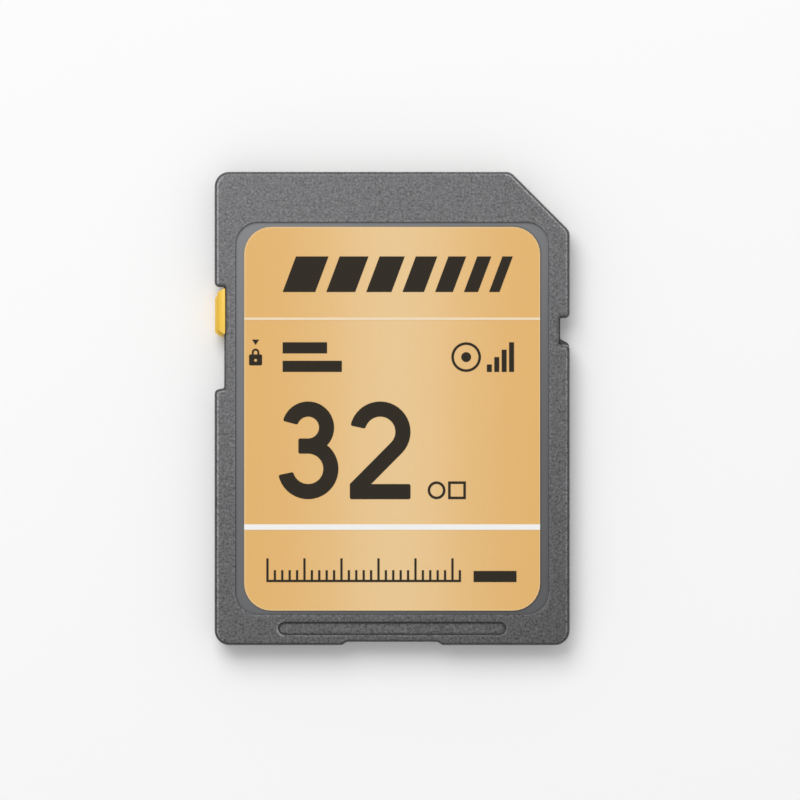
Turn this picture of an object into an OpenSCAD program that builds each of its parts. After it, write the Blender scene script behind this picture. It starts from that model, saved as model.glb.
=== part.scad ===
// Flat memory card of the full size, with a sliding write-protect tab.
// The card lies on its back face with the label up. X runs across it, and Y runs from the
// rear edge to the contact edge. The origin is the middle of the back face.

/* [Card] */
// Width of the card across its two side edges
card_w = 24; // [23.5:0.5:26]
// Length of the card from its rear edge to its contact edge
card_l = 32; // [31:0.5:35]
// Thickness of the card between its back face and its front face
card_t = 2.1; // [2.05:0.05:2.4]
// Radius of the card's corners, seen from the front
corner_r = 1; // [0.6:0.1:1.4]
// Length that the slanted corner takes from each of its two edges
slant_c = 4; // [3:0.25:4.5]
// Radius where the slanted corner meets its two edges
slant_r = 0.7; // [0.5:0.1:1.2]
// Radius of the rounding along the edge of the front face
front_edge_r = 0.3; // [0.08:0.02:0.32]
// Radius of the rounding along the edge of the back face
back_edge_r = 0.14; // [0.08:0.02:0.2]

// Radius of the rounding along the rims of the recess and the windows
rim_r = 0.05; // [0.02:0.01:0.07]

/* [Side rails] */
// Width of the thin rail along each side edge
rail_w = 0.75; // [0.6:0.05:0.85]
// Thickness of the rails
rail_t = 1.4; // [1.3:0.05:1.45]

/* [Shells] */
// Height of the joint between the shells above the underside of the rails
joint_h = 0.7; // [0.6:0.05:0.75]
// Amount that the back shell stands in from the front shell at the joint
shell_step = 0.03; // [0.01:0.01:0.06]
// Thickness of the front plate under the label
plate_t = 0.2; // [0.15:0.01:0.24]
// Thickness of the back shell's floor between its ribs
floor_t = 0.3; // [0.2:0.05:0.45]
// Thickness of the wall between a rail and the board's space
inner_wall = 0.45; // [0.35:0.05:0.5]
// Thickness of the wall at the contact edge
lead_wall = 0.9; // [0.8:0.05:1]
// Thickness of the wall at the rear edge
rear_wall = 1.7; // [1.4:0.1:2.2]
// Thickness of the wall along the slanted corner
slant_wall = 0.52; // [0.45:0.01:0.6]
// Thickness of the lip that stands up from the back shell's walls
lip_t = 0.35; // [0.2:0.05:0.4]
// Height of that lip
lip_h = 0.22; // [0.15:0.01:0.28]
// Clearance round the lip
lip_gap = 0.05; // [0.02:0.01:0.06]
// Width of the floor ribs that carry the board
rib_w = 0.4; // [0.3:0.05:0.6]
// Distance between the floor ribs
rib_pitch = 5; // [4:0.5:7]
// Width of the ledge round the board's space that the board's edge rests on
ledge_w = 0.6; // [0.4:0.05:0.8]
// Diameter of the posts that hold the board down
post_d = 0.9; // [0.7:0.05:1]
// Distance from a post's middle to the wall beside it
post_inset = 0.95; // [0.8:0.05:1]
// Radius of the half-round bosses that place the board
boss_r = 0.5; // [0.4:0.05:0.6]
// Distance from the rear edge to the bosses
boss_from_rear = 5; // [4:0.25:7]

/* [Notches and grip] */
// Distance from the contact edge to the write-protect notch
notch_from_edge = 7.8; // [7.4:0.1:8.4]
// Length of the write-protect notch
notch_l = 6.8; // [6.4:0.1:7.4]
// Radius in the inner corners of the notches
notch_r = 0.12; // [0.1:0.01:0.2]
// Amount that the rear end of the write-protect notch slants back
notch_slant = 0.15; // [0.1:0.01:0.3]
// Amount that the back shell stands out from the front shell in the notches
ledge_out = 0.14; // [0.1:0.01:0.16]
// Distance from the contact edge to the lock notch on the other side
lock_from_edge = 9.9; // [9:0.1:12]
// Length of the lock notch in the front shell
lock_l = 1.8; // [1.5:0.1:3]
// Amount that the back shell's lock notch is shorter
lock_step = 0.42; // [0.2:0.02:0.5]
// Amount that the end of that notch slants back
lock_slant = 0.32; // [0.1:0.02:0.4]
// Width of the finger recess in the rear edge, at its mouth
finger_w = 6.8; // [5:0.1:9]
// Depth of the finger recess
finger_d = 0.22; // [0.18:0.02:0.3]
// Length of the slope at each end of the finger recess
finger_slope = 0.35; // [0.3:0.05:0.6]
// Length of the grip groove on the front face
groove_l = 15.3; // [12:0.1:17]
// Width of the grip groove
groove_w = 0.76; // [0.6:0.02:0.88]
// Depth of the grip groove
groove_d = 0.18; // [0.1:0.02:0.2]
// Radius of the rounding along the rim of the grip groove
groove_rim_r = 0.12; // [0.05:0.01:0.15]
// Distance from the rear edge to the middle line of the grip groove
groove_from_rear = 1.13; // [1.05:0.01:1.2]

/* [Label] */
// Depth of the label recess in the front face
recess_d = 0.15; // [0.14:0.01:0.19]
// Width of the border beside the label recess
recess_side = 1.43; // [1.2:0.01:2]
// Width of the border between the contact edge and the label recess
recess_front = 3.42; // [3:0.1:4]
// Width of the border between the rear edge and the label recess
recess_rear = 2.09; // [1.9:0.05:2.6]
// Radius of the label recess's corners
recess_r = 1.5; // [1.2:0.1:2.2]
// Gap between the label and the recess at each side
label_side_gap = 0.57; // [0.3:0.01:0.9]
// Gap between the label and the front end of the recess
label_front_gap = 0.31; // [0.2:0.01:0.6]
// Gap between the label and the rear end of the recess
label_rear_gap = 0.24; // [0.15:0.01:0.6]
// Radius of the label's corners
label_r = 1.85; // [1.2:0.05:2]
// Thickness of the label
label_t = 0.1; // [0.06:0.01:0.11]
// Thickness of the print on the label
print_t = 0.02; // [0.01:0.01:0.03]
// Distance from the label's front end to the thin pale line
thin_line_at = 6.13; // [5.5:0.01:7]
// Width of the thin pale line
thin_line_w = 0.16; // [0.08:0.02:0.2]
// Distance from the label's rear end to the broad pale line
broad_line_from_rear = 5.47; // [5:0.01:6]
// Width of the broad pale line
broad_line_w = 0.37; // [0.2:0.01:0.5]
// Distance from the label's left side to the left column of dark marks
mark_left = 2.6; // [2:0.1:3]
// Distance from the label's left side to the right column of dark marks
mark_right = 15; // [14.8:0.1:15.4]
// Distance from the label's front end to the row of slanted bars
bars_at = 2; // [1.6:0.1:2.4]
// Height of the row of slanted bars
bars_h = 2.4; // [2:0.1:2.8]
// Number of slanted bars
bars_n = 7; // [5:1:8]
// Width of the first slanted bar
bar_first_w = 2.2; // [1.9:0.1:2.4]
// Amount by which each slanted bar is narrower than the one before
bar_step_w = 0.25; // [0.15:0.05:0.25]
// Gap between the slanted bars
bar_gap = 0.75; // [0.5:0.05:0.8]
// Sideways lean of the slanted bars over their height
bar_lean = 0.9; // [0.3:0.1:1.2]
// Distance from the label's front end to the row of small marks
small_at = 7.8; // [7.2:0.1:8.2]
// Height of the row of small marks
small_h = 2; // [1.8:0.1:2.4]
// Thickness of the short lines and rings among the small marks
line_t = 0.75; // [0.5:0.05:0.8]
// Width of the ring's stroke
ring_t = 0.17; // [0.12:0.01:0.25]
// Distance from the label's rear end to the foot of the ruler
ruler_from_rear = 1.94; // [1.4:0.01:2.4]
// Length of the ruler
ruler_l = 13; // [10:0.5:13]
// Height of the ruler's long ticks
ruler_h = 1.6; // [1.2:0.1:2]
// Distance between the ruler's ticks
tick_pitch = 0.5; // [0.4:0.05:1]
// Width of a tick
tick_w = 0.15; // [0.1:0.01:0.2]

/* [Write-protect slider] */
// Length of the slider's tab where it meets the notch wall
tab_l = 3.4; // [3.2:0.05:3.6]
// Length that the front end of the tab's base slants back
base_front_slant = 0.7; // [0.5:0.05:0.9]
// Length that the rear end of the tab's base slants back
base_rear_slant = 0.37; // [0.25:0.01:0.5]
// Length that each end of the tab's upper tier slants back
tier_slant = 0.34; // [0.2:0.02:0.5]
// Amount that the upper tier stays back from the base at its rear end
tier_back = 0.22; // [0.14:0.02:0.3]
// Width of the base's ledge outside the upper tier
tier_ledge = 0.15; // [0.1:0.01:0.2]
// Height of the base above the shells' joint
base_rise = 0.1; // [0.08:0.01:0.14]
// Amount that the tab's outer face stays inside the card's edge
tab_inset = 0.02; // [0.02:0.01:0.15]
// Amount that the tab stays below the front face
tab_drop = 0.1; // [0.06:0.02:0.2]
// Height of the upper tier's rounded shoulder
shoulder_h = 0.38; // [0.26:0.02:0.4]
// Width of that shoulder
shoulder_w = 0.21; // [0.15:0.01:0.3]
// Clearance between the slider and what it slides on
slide_gap = 0.04; // [0.02:0.01:0.05]
// Clearance left at each end of the slider's travel
end_gap = 0.04; // [0.03:0.01:0.1]
// Thickness of the notch wall that the slider's neck passes through
track_wall = 0.3; // [0.22:0.01:0.34]
// Length of the slider's neck
neck_l = 2.4; // [2:0.1:2.5]
// Height of the slider's neck, half of it on each side of the shells' joint
neck_h = 0.36; // [0.3:0.02:0.4]
// Length of the flange behind the notch wall
flange_l = 3; // [2.8:0.1:3.1]
// Thickness of that flange
flange_t = 0.36; // [0.3:0.02:0.42]
// Height of the flange below the shells' joint
flange_below = 0.42; // [0.35:0.01:0.48]
// Thickness of the guide wall on the inner side of the flange
guide_t = 0.2; // [0.15:0.01:0.25]

/* [Board and contacts] */
// Depth of the contacts below the back face
contact_depth = 0.7; // [0.68:0.01:0.76]
// Thickness of a contact
pad_t = 0.04; // [0.03:0.01:0.06]
// Thickness of the circuit board
board_t = 0.3; // [0.25:0.01:0.32]
// Clearance round the circuit board
board_gap = 0.06; // [0.04:0.01:0.08]
// Radius of the circuit board's corners
board_r = 0.3; // [0.15:0.05:0.5]
// Distance from the card's edge at the slanted corner to the middle of contact 9
pad_9_from_side = 2; // [2:0.02:2.1]
// Distance between the middles of contacts 9 and 1 to 6
pad_pitch = 2.5; // [2.4:0.02:2.5]
// Distance from the middle of contact 6 to that of contact 7
pad_6_to_7 = 2.43; // [2.3:0.01:2.5]
// Distance from the middle of contact 7 to that of contact 8
pad_7_to_8 = 1.7; // [1.6:0.02:1.74]
// Width of contacts 1 to 6
pad_w = 1.6; // [1.3:0.05:1.65]
// Width of contacts 7 and 8
pad_narrow_w = 1.1; // [0.9:0.02:1.14]
// Width of contact 9
pad_9_w = 1.36; // [1.1:0.02:1.36]
// Length of contacts 1 to 8
pad_l = 4.2; // [3.6:0.1:4.6]
// Length of contact 9
pad_9_l = 4; // [3.4:0.1:4.4]
// Distance from the contact edge to contacts 1 to 8
pad_from_edge = 1.06; // [1.06:0.02:1.3]
// Gap between a contact and the sides of its window
window_gap = 0.13; // [0.1:0.01:0.14]
// Radius in the inner corners of a window
window_r = 0.2; // [0.1:0.05:0.3]
// Length of the lead-in slope in front of a contact
lead_in_l = 0.45; // [0.3:0.05:0.6]
// Rise of that slope
lead_in_h = 0.16; // [0.1:0.02:0.25]

/* [Components] */
// Width of the memory package
flash_w = 18; // [14:0.5:18.5]
// Length of the memory package
flash_l = 12; // [10:0.5:12.5]
// Gap between the memory package and the front shell
head_gap = 0.06; // [0.03:0.01:0.1]
// Distance from the board's rear end to the memory package
flash_from_rear = 1.2; // [1:0.1:2]
// Side of the square controller package
controller_w = 6; // [5:0.25:6.5]
// Thickness of the controller package
controller_t = 0.55; // [0.4:0.05:0.6]
// Distance from the memory package to the controller package
controller_from_flash = 2.6; // [1.5:0.1:3]
// Terminals along each side of the controller package
controller_pins = 10; // [6:1:12]
// Length of a capacitor or resistor
chip_l = 1; // [0.8:0.05:1.1]
// Width of a capacitor or resistor
chip_w = 0.5; // [0.4:0.05:0.6]
// Height of a capacitor
capacitor_h = 0.5; // [0.3:0.05:0.6]
// Height of a resistor
resistor_h = 0.35; // [0.25:0.05:0.5]

/* [Hidden] */
hw = card_w / 2;
hl = card_l / 2;
eps = 0.01;
far = 1;

// Heights above the back face
rail_z = card_t - rail_t;
joint_z = rail_z + joint_h;
board_z = contact_depth + pad_t;
board_top = board_z + board_t;
recess_z = card_t - recess_d;
ceiling_z = recess_z - plate_t;
print_z = recess_z + label_t;
flash_t = ceiling_z - head_gap - board_top;

// Smallest outer corner at a notch, large enough for the face's rounding
notch_lip_r = max(front_edge_r, back_edge_r) + eps;
// Corners at which a notch or recess turns gently
soft_r = notch_lip_r;
small_steps = 3;
large_steps = 8;
edge_steps = 4;
rim_steps = 2;
groove_steps = 3;

// Sum of x and y along the slanted corner, outside and at the board's space
slant_sum = hw + hl - slant_c;
space_slant = slant_sum - slant_wall * sqrt(2);
space_x = hw - rail_w - inner_wall;
space_front = hl - lead_wall;
space_rear = hl - rear_wall;

notch_x = hw - rail_w;
notch_top = hl - notch_from_edge;
notch_end = notch_top - notch_l;
lock_top = hl - lock_from_edge;
lock_end = lock_top - lock_l;

recess_w = card_w - 2 * recess_side;
recess_l = card_l - recess_front - recess_rear;
recess_y = (recess_rear - recess_front) / 2;
label_w = recess_w - 2 * label_side_gap;
label_l = recess_l - label_front_gap - label_rear_gap;
label_top = hl - recess_front - label_front_gap;
label_y = label_top - label_l / 2;
broad_line_at = label_l - broad_line_from_rear - broad_line_w;
ruler_at = label_l - ruler_from_rear;

// Slider at rest against the front end of its travel
tab_top = notch_top - end_gap;
tab_end = tab_top - tab_l;
travel = notch_l - tab_l - 2 * end_gap;
tab_mid = (tab_top + tab_end) / 2;
track_x = notch_x - track_wall;
flange_x = track_x - slide_gap;
guide_x = flange_x - flange_t - slide_gap;
guide_in = guide_x - guide_t;
track_top = tab_mid + flange_l / 2 + end_gap;
track_end = tab_mid - flange_l / 2 - travel - end_gap;
track_floor = joint_z - flange_below - slide_gap;

// Contacts, by number: middle, width, front end and length
pad_x = concat(
    [for (i = [1:6]) hw - pad_9_from_side - i * pad_pitch],
    [hw - pad_9_from_side - 6 * pad_pitch - pad_6_to_7],
    [hw - pad_9_from_side - 6 * pad_pitch - pad_6_to_7 - pad_7_to_8],
    [hw - pad_9_from_side]
);
pad_width = [for (i = [1:9]) i == 9 ? pad_9_w : i > 6 ? pad_narrow_w : pad_w];
pad_length = [for (i = [1:9]) i == 9 ? pad_9_l : pad_l];
board_slant = space_slant - board_gap * sqrt(2);
pad_9_top = board_slant - (pad_x[8] + pad_9_w / 2) - board_gap;
pad_top = [for (i = [1:9]) i == 9 ? pad_9_top : hl - pad_from_edge];
window_back = 0.6;

board_rear = -space_rear + board_gap;
flash_y = board_rear + flash_from_rear + flash_l / 2;
controller_y = flash_y + flash_l / 2 + controller_from_flash + controller_w / 2;
boss_y = -hl + boss_from_rear;

shell_colour = [0.40, 0.40, 0.41];
slider_colour = [1.00, 0.80, 0.22];
label_colour = [0.89, 0.73, 0.47];

// Outline tools. A corner is [x, y, radius], and corners run anticlockwise.
function place(corner) = [corner.x, corner.y];
function inward(a, b) = let (d = (b - a) / norm(b - a)) [-d.y, d.x];
function turned(v, angle) = [
    v.x * cos(angle) - v.y * sin(angle),
    v.x * sin(angle) + v.y * cos(angle)
];
function arc_steps(radius, angle) =
    radius > 0.45 ? ceil(large_steps * abs(angle) / 90) : small_steps;

// One rounded corner, with the whole outline moved inward by inset
function corner_arc(before, here, after, radius, inset) =
    let (
        n1 = inward(before, here),
        n2 = inward(here, after),
        turn = cross(n1, n2) < 0 ? -1 : 1,
        angle = atan2(cross(n1, n2), n1 * n2),
        mitre = (n1 + n2) / (1 + n1 * n2),
        centre = here + turn * radius * mitre,
        reach = radius - turn * inset,
        steps = arc_steps(radius, angle)
    )
    radius == 0
        ? [here + inset * mitre]
        : [for (k = [0:steps]) centre - turn * reach * turned(n1, angle * k / steps)];

function rounded(corners, inset = 0) =
    let (n = len(corners))
    [for (i = [0:n - 1])
        each corner_arc(
            place(corners[(i + n - 1) % n]), place(corners[i]), place(corners[(i + 1) % n]),
            corners[i][2], inset
        )
    ];

function box_corners(x0, y0, x1, y1, radius) =
    [[x0, y0, radius], [x1, y0, radius], [x1, y1, radius], [x0, y1, radius]];

// Rear edge with its finger recess, from left to right
function rear_corners() = [
    [-finger_w / 2, -hl, soft_r],
    [-finger_w / 2 + finger_slope, -hl + finger_d, soft_r],
    [finger_w / 2 - finger_slope, -hl + finger_d, soft_r],
    [finger_w / 2, -hl, soft_r]
];

// Whole card, seen from the front. The back shell's notches are shallower by the ledge, and
// its lock notch ends earlier, on a slant.
function card_corners(step = 0, slope = 0, ledge = 0) = concat(
    [[-hw, -hl, corner_r]],
    rear_corners(),
    [
        [hw, -hl, corner_r],
        [hw, lock_end + step - slope, notch_lip_r],
        [notch_x + ledge, lock_end + step, notch_r],
        [notch_x + ledge, lock_top, notch_r],
        [hw, lock_top, notch_lip_r],
        [hw, hl - slant_c, slant_r],
        [hw - slant_c, hl, slant_r],
        [-hw, hl, corner_r],
        [-hw, notch_top, notch_lip_r],
        [-notch_x - ledge, notch_top, notch_r],
        [-notch_x - ledge, notch_end, notch_r],
        [-hw, notch_end - notch_slant, notch_lip_r]
    ]
);

// Back shell at the rails, with its shallower notches
function rail_corners() = card_corners(lock_step, lock_slant, ledge_out);

// Raised middle of the back face, between the rails
function panel_corners() = concat(
    [[-notch_x, -hl, corner_r / 2]],
    rear_corners(),
    [
        [notch_x, -hl, corner_r / 2],
        [notch_x, slant_sum - notch_x, corner_r / 2],
        [hw - slant_c, hl, slant_r],
        [-notch_x, hl, corner_r / 2]
    ]
);

// Space inside the shells that the board lies in
function space_corners(radius) = [
    [-space_x, -space_rear, radius],
    [space_x, -space_rear, radius],
    [space_x, space_slant - space_x, radius],
    [space_slant - space_front, space_front, radius],
    [-space_x, space_front, radius]
];

// What the rounding of an edge takes away. The edge follows the corners at height z, and
// side is 1 for an edge that faces up and -1 for one that faces down. With rim = -1 the
// corners are those of a hole, and the material lies outside them.
module edge_rounding(corners, inset, radius, z, side, steps = edge_steps, rim = 1) {
    margin = 0.04;
    profile = concat(
        [[-margin, margin], [-margin, -radius]],
        [for (k = [0:steps])
            let (a = 90 * k / steps) radius * [1 - cos(a), sin(a) - 1]
        ],
        [[radius, margin]]
    );
    n = len(rounded(corners));
    m = len(profile);
    points = [
        for (p = profile)
            for (q = rounded(corners, inset + rim * p[0])) [q.x, q.y, z + side * p[1]]
    ];
    faces = [
        for (j = [0:m - 1])
            for (i = [0:n - 1])
                let (
                    a = j * n + i,
                    b = j * n + (i + 1) % n,
                    c = (j + 1) % m * n + (i + 1) % n,
                    d = (j + 1) % m * n + i
                )
                side * rim > 0 ? [a, b, c, d] : [d, c, b, a]
    ];
    polyhedron(points, faces, convexity = 6);
}

module slab(corners, z0, z1, inset = 0) {
    translate([0, 0, z0])
        linear_extrude(z1 - z0)
            polygon(rounded(corners, inset));
}

// A box between two corners
module block(low, high) {
    translate(low)
        cube(high - low);
}

// Stretches round the notches and the slanted corner where the walls are too thin for a lip
module lip_breaks() {
    reach = 2.2;
    slack = 0.5;
    block([-hw - far, notch_end - slack, joint_z - far], [-space_x + far, notch_top + slack, card_t]);
    block([space_x - far, lock_end - slack, joint_z - far], [hw + far, lock_top + slack, card_t]);
    translate([0, 0, joint_z - far])
        linear_extrude(card_t)
            polygon([
                [slant_sum - reach - hl - far, hl + far],
                [hw + far, slant_sum - reach - hw - far],
                [hw + far, hl + far]
            ]);
}

// Lip along the walls at the joint, grown by a gap for its groove
module lip(gap) {
    difference() {
        slab(space_corners(board_r), joint_z - eps, joint_z + lip_h + gap, -lip_t - gap);
        slab(space_corners(board_r), joint_z - far, card_t, 0);
        if (gap == 0) lip_breaks();
    }
}

// Passage for the slider's neck and flange, along its whole travel
module slider_track() {
    half = neck_h / 2 + slide_gap;
    block(
        [-notch_x - ledge_out - eps, tab_mid - neck_l / 2 - travel - end_gap, joint_z - half],
        [-track_x + eps, tab_mid + neck_l / 2 + end_gap, joint_z + half]
    );
    block([-track_x, track_end, track_floor], [-guide_x, track_top, ceiling_z]);
}

module posts() {
    side = space_x - post_inset;
    spots = [
        for (y = [-space_rear + post_inset, flash_y + flash_l / 2 - post_d])
            for (x = [-side, side]) [x, y],
        [-side, space_front - post_inset],
        [0, space_front - post_inset],
        [space_slant - space_front - post_inset, space_front - post_inset]
    ];
    for (p = spots)
        translate([p.x, p.y, board_top])
            cylinder(d = post_d, h = ceiling_z - board_top + eps, $fn = 24);
}

function groove_corners() = box_corners(
    -groove_l / 2, -hl + groove_from_rear - groove_w / 2,
    groove_l / 2, -hl + groove_from_rear + groove_w / 2, groove_w / 2 - eps
);

function recess_corners() = box_corners(
    -recess_w / 2, recess_y - recess_l / 2,
    recess_w / 2, recess_y + recess_l / 2, recess_r
);

module front_shell() {
    color(shell_colour)
    difference() {
        union() {
            difference() {
                slab(card_corners(), joint_z, card_t);
                slab(space_corners(board_r), joint_z - far, ceiling_z);
                lip(lip_gap);
            }
            track_cover();
            posts();
        }
        edge_rounding(card_corners(), 0, front_edge_r, card_t, 1);
        slab(recess_corners(), recess_z, card_t + far);
        slab(groove_corners(), card_t - groove_d, card_t + far);
        edge_rounding(recess_corners(), 0, rim_r, card_t, 1, rim_steps, -1);
        edge_rounding(groove_corners(), 0, groove_rim_r, card_t, 1, groove_steps, -1);
        slider_track();
    }
}

// Full thickness of the front shell over the notches, where the lip's groove stops
module track_cover() {
    difference() {
        intersection() {
            slab(card_corners(), joint_z, ceiling_z + eps);
            lip_breaks();
        }
        slab(space_corners(board_r), joint_z - far, ceiling_z);
    }
}

// Outline of the window over one contact, open past the contact edge
function window_corners(i) =
    let (
        reach = pad_width[i] / 2 + window_gap,
        back = pad_top[i] - pad_length[i] - window_gap
    )
    [
        [pad_x[i] - reach, back, window_r],
        [pad_x[i] + reach, back, window_r],
        [pad_x[i] + reach, hl + far, 0],
        [pad_x[i] - reach, hl + far, 0]
    ];

// Window over one contact, with the space for the contact and the lead-in slope
module window(i) {
    corners = window_corners(i);
    low = corners[0];
    high = corners[2];
    slab(corners, -far, contact_depth);
    slab(
        box_corners(low.x, low.y, high.x, pad_top[i] + window_gap / 2, window_r),
        0, board_z + eps
    );
    edge_rounding(corners, 0, rim_r, 0, -1, rim_steps, -1);
    slope(i, low.x, high.x);
}

// Slope up to the contact edge, or up to the slanted corner in front of contact 9
module slope(i, x0, x1) {
    run = lead_in_l + far;
    rise = lead_in_h * run / lead_in_l;
    at_slant = i == 8;
    edge_y = at_slant ? slant_sum - pad_x[i] : hl;
    intersection() {
        translate([pad_x[i], edge_y, contact_depth])
            rotate([0, 0, at_slant ? -45 : 0])
                translate([0, -lead_in_l, 0])
                    rotate([90, 0, 90])
                        translate([0, 0, -card_w / 2])
                            linear_extrude(card_w)
                                polygon([[0, 0], [0, -eps], [run, -eps], [run, rise]]);
        block([x0, -hl, 0], [x1, hl + far, card_t]);
    }
}

// Solid part of the floor round the windows
module contact_block() {
    back = hl - pad_from_edge - pad_l - window_gap - window_back;
    back_9 = pad_top[8] - pad_9_l - window_gap - window_back;
    side_9 = pad_x[8] - pad_9_w / 2 - window_gap - window_back;
    block([-hw, back, -far], [hw, hl, card_t]);
    block([side_9, back_9, -far], [hw, hl, card_t]);
}

module floor_ribs() {
    columns = floor((space_x - ledge_w) / rib_pitch);
    rows = floor((space_rear - ledge_w) / rib_pitch);
    for (i = [-columns:columns])
        translate([i * rib_pitch - rib_w / 2, -hl, -far])
            cube([rib_w, card_l, card_t]);
    for (j = [-rows:rows])
        translate([-hw, j * rib_pitch - rib_w / 2, -far])
            cube([card_w, rib_w, card_t]);
}

// Hollows in the floor under the board
module floor_pockets() {
    difference() {
        slab(space_corners(board_r + ledge_w), floor_t, board_z + eps, ledge_w);
        contact_block();
        floor_ribs();
        block([-hw, track_end - ledge_w, -far], [-guide_in + ledge_w, track_top + ledge_w, card_t]);
    }
}

module bosses() {
    for (side = [-1, 1])
        intersection() {
            translate([side * space_x, boss_y, board_z - eps])
                cylinder(r = boss_r, h = joint_z - board_z + eps, $fn = 32);
            block([-hw, -hl, 0], [hw, hl, card_t]);
        }
}

// Outline of the wall between the slider's flange and the board, and of the board's
// cut-out round it, which stands off by the gap
function guide_corners() = [
    [-space_x - far, track_end - guide_t, 0],
    [-guide_in, track_end - guide_t, board_r],
    [-guide_in, track_top + guide_t, board_r],
    [-space_x - far, track_top + guide_t, 0]
];

module guide_wall() {
    intersection() {
        slab(guide_corners(), floor_t, joint_z);
        block([-space_x - eps, -hl, 0], [0, hl, card_t]);
    }
}

module back_shell() {
    color(shell_colour)
    difference() {
        union() {
            difference() {
                union() {
                    slab(panel_corners(), 0, rail_z + eps, shell_step);
                    slab(rail_corners(), rail_z, joint_z, shell_step);
                }
                slab(space_corners(board_r), board_z, card_t);
                floor_pockets();
                edge_rounding(panel_corners(), shell_step, back_edge_r, 0, -1);
                rail_rounding();
            }
            lip(0);
            bosses();
            guide_wall();
        }
        slider_track();
        for (i = [0:8])
            window(i);
    }
}

// Rounding of the rails' lower outer edges, along the sides only
module rail_rounding() {
    edge_x = notch_x + ledge_out + eps;
    intersection() {
        edge_rounding(rail_corners(), shell_step, back_edge_r, rail_z, -1);
        union() {
            block([-hw - far, -hl, 0], [-edge_x, hl, card_t]);
            block([edge_x, -hl, 0], [hw + far, hl, card_t]);
        }
    }
}

// Plan of one tier of the slider's tab, with both ends slanting back to its outer face
function tier_corners(inner, outer, top, end, top_slant, end_slant) = [
    [inner, end, notch_r / 2],
    [inner, top, notch_r / 2],
    [outer, top - top_slant, notch_r],
    [outer, end + end_slant, notch_r]
];

// Section of the upper tier across its travel, with its rounded shoulder
function tier_section(inner, outer, low) =
    let (top = card_t - tab_drop)
    concat(
        [[inner, low], [inner, top]],
        [for (a = [0:15:90])
            [outer + shoulder_w * (1 - sin(a)), top - shoulder_h * (1 - cos(a))]
        ],
        [[outer, low]]
    );

// Tab of the slider: a base that stands outside the back shell's ledge, and an upper tier
// that reaches over the ledge
module slider_tab() {
    inner = -notch_x - slide_gap;
    outer = -hw + tab_inset;
    base_inner = inner - ledge_out;
    tier_outer = outer + tier_ledge;
    slab(
        tier_corners(base_inner, outer, tab_top, tab_end, base_front_slant, base_rear_slant),
        rail_z + slide_gap, joint_z + base_rise
    );
    intersection() {
        slab(
            tier_corners(inner, tier_outer, tab_top, tab_end + tier_back, tier_slant, tier_slant),
            0, card_t
        );
        translate([0, tab_top, 0])
            rotate([90, 0, 0])
                linear_extrude(tab_l)
                    polygon(tier_section(inner, tier_outer, joint_z + slide_gap));
    }
}

module write_protect_slider() {
    color(slider_colour) {
        slider_tab();
        block(
            [-notch_x - slide_gap - ledge_out - eps, tab_mid - neck_l / 2, joint_z - neck_h / 2],
            [-flange_x + eps, tab_mid + neck_l / 2, joint_z + neck_h / 2]
        );
        block(
            [-flange_x, tab_mid - flange_l / 2, joint_z - flange_below],
            [-flange_x + flange_t, tab_mid + flange_l / 2, ceiling_z - slide_gap]
        );
    }
}

module label() {
    color(label_colour)
    slab(
        box_corners(
            -label_w / 2, label_y - label_l / 2,
            label_w / 2, label_y + label_l / 2, label_r
        ),
        recess_z, print_z
    );
}

module stripe(from_top, width) {
    block(
        [-label_w / 2, label_top - from_top - width, print_z],
        [label_w / 2, label_top - from_top, print_z + print_t]
    );
}

module label_light_print() {
    color("white") {
        stripe(thin_line_at, thin_line_w);
        stripe(broad_line_at, broad_line_w);
    }
}

// Puts a mark at a distance from the label's left side and above a line that lies a
// distance from the label's front end
module at_mark(x, foot) {
    translate([-label_w / 2 + x, label_top - foot, print_z])
        linear_extrude(print_t)
            children();
}

// Row of slanted bars that get narrower from left to right
module slanted_bars() {
    for (i = [0:bars_n - 1]) {
        w = bar_first_w - i * bar_step_w;
        x = i * (bar_first_w + bar_gap) - bar_step_w * i * (i - 1) / 2;
        at_mark(mark_left + x, bars_at + bars_h)
            polygon([[0, 0], [w, 0], [w + bar_lean, bars_h], [bar_lean, bars_h]]);
    }
}

// Two short lines, one over the other
module short_lines() {
    for (i = [0, 1])
        at_mark(mark_left, small_at + small_h - i * (small_h - line_t))
            square([2 * small_h - i * small_h / 2, line_t]);
}

// Ring round a dot, and a flight of four rising bars beside it
module ring_and_flight() {
    r = small_h / 2;
    w = small_h / 6;
    at_mark(mark_right, small_at + r)
        difference() {
            circle(r, $fn = 48);
            circle(r - ring_t, $fn = 48);
        }
    at_mark(mark_right, small_at + r)
        circle(r / 3, $fn = 32);
    for (i = [0:3])
        at_mark(mark_right + 1.4 * r + i * w * 1.5, small_at + small_h)
            square([w, small_h * (i + 1) / 4]);
}

// Row of ticks on a foot line, every fifth one long
module ruler() {
    at_mark(mark_left - 1.1, ruler_at)
        union() {
            square([ruler_l + tick_w, tick_w]);
            for (i = [0:floor(ruler_l / tick_pitch)])
                translate([i * tick_pitch, 0])
                    square([tick_w, i % 5 == 0 ? ruler_h : ruler_h / 2]);
        }
}

// Small ring and square frame side by side, right of the middle of the label
module ring_and_frame() {
    side = small_h * 0.6;
    foot = broad_line_at - small_h * 0.85;
    left = label_w * 0.62;
    at_mark(left + side / 2, foot - side / 2)
        difference() {
            circle(d = side, $fn = 36);
            circle(d = side - 2 * ring_t, $fn = 36);
        }
    at_mark(left + side * 1.15, foot)
        difference() {
            square(side);
            translate([ring_t, ring_t])
                square(side - 2 * ring_t);
        }
}

module label_dark_print() {
    color([0.17, 0.17, 0.18]) {
        slanted_bars();
        short_lines();
        ring_and_flight();
        ring_and_frame();
        ruler();
        at_mark(mark_right + small_h / 4, ruler_at)
            square([1.45 * small_h, line_t]);
    }
}

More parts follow.
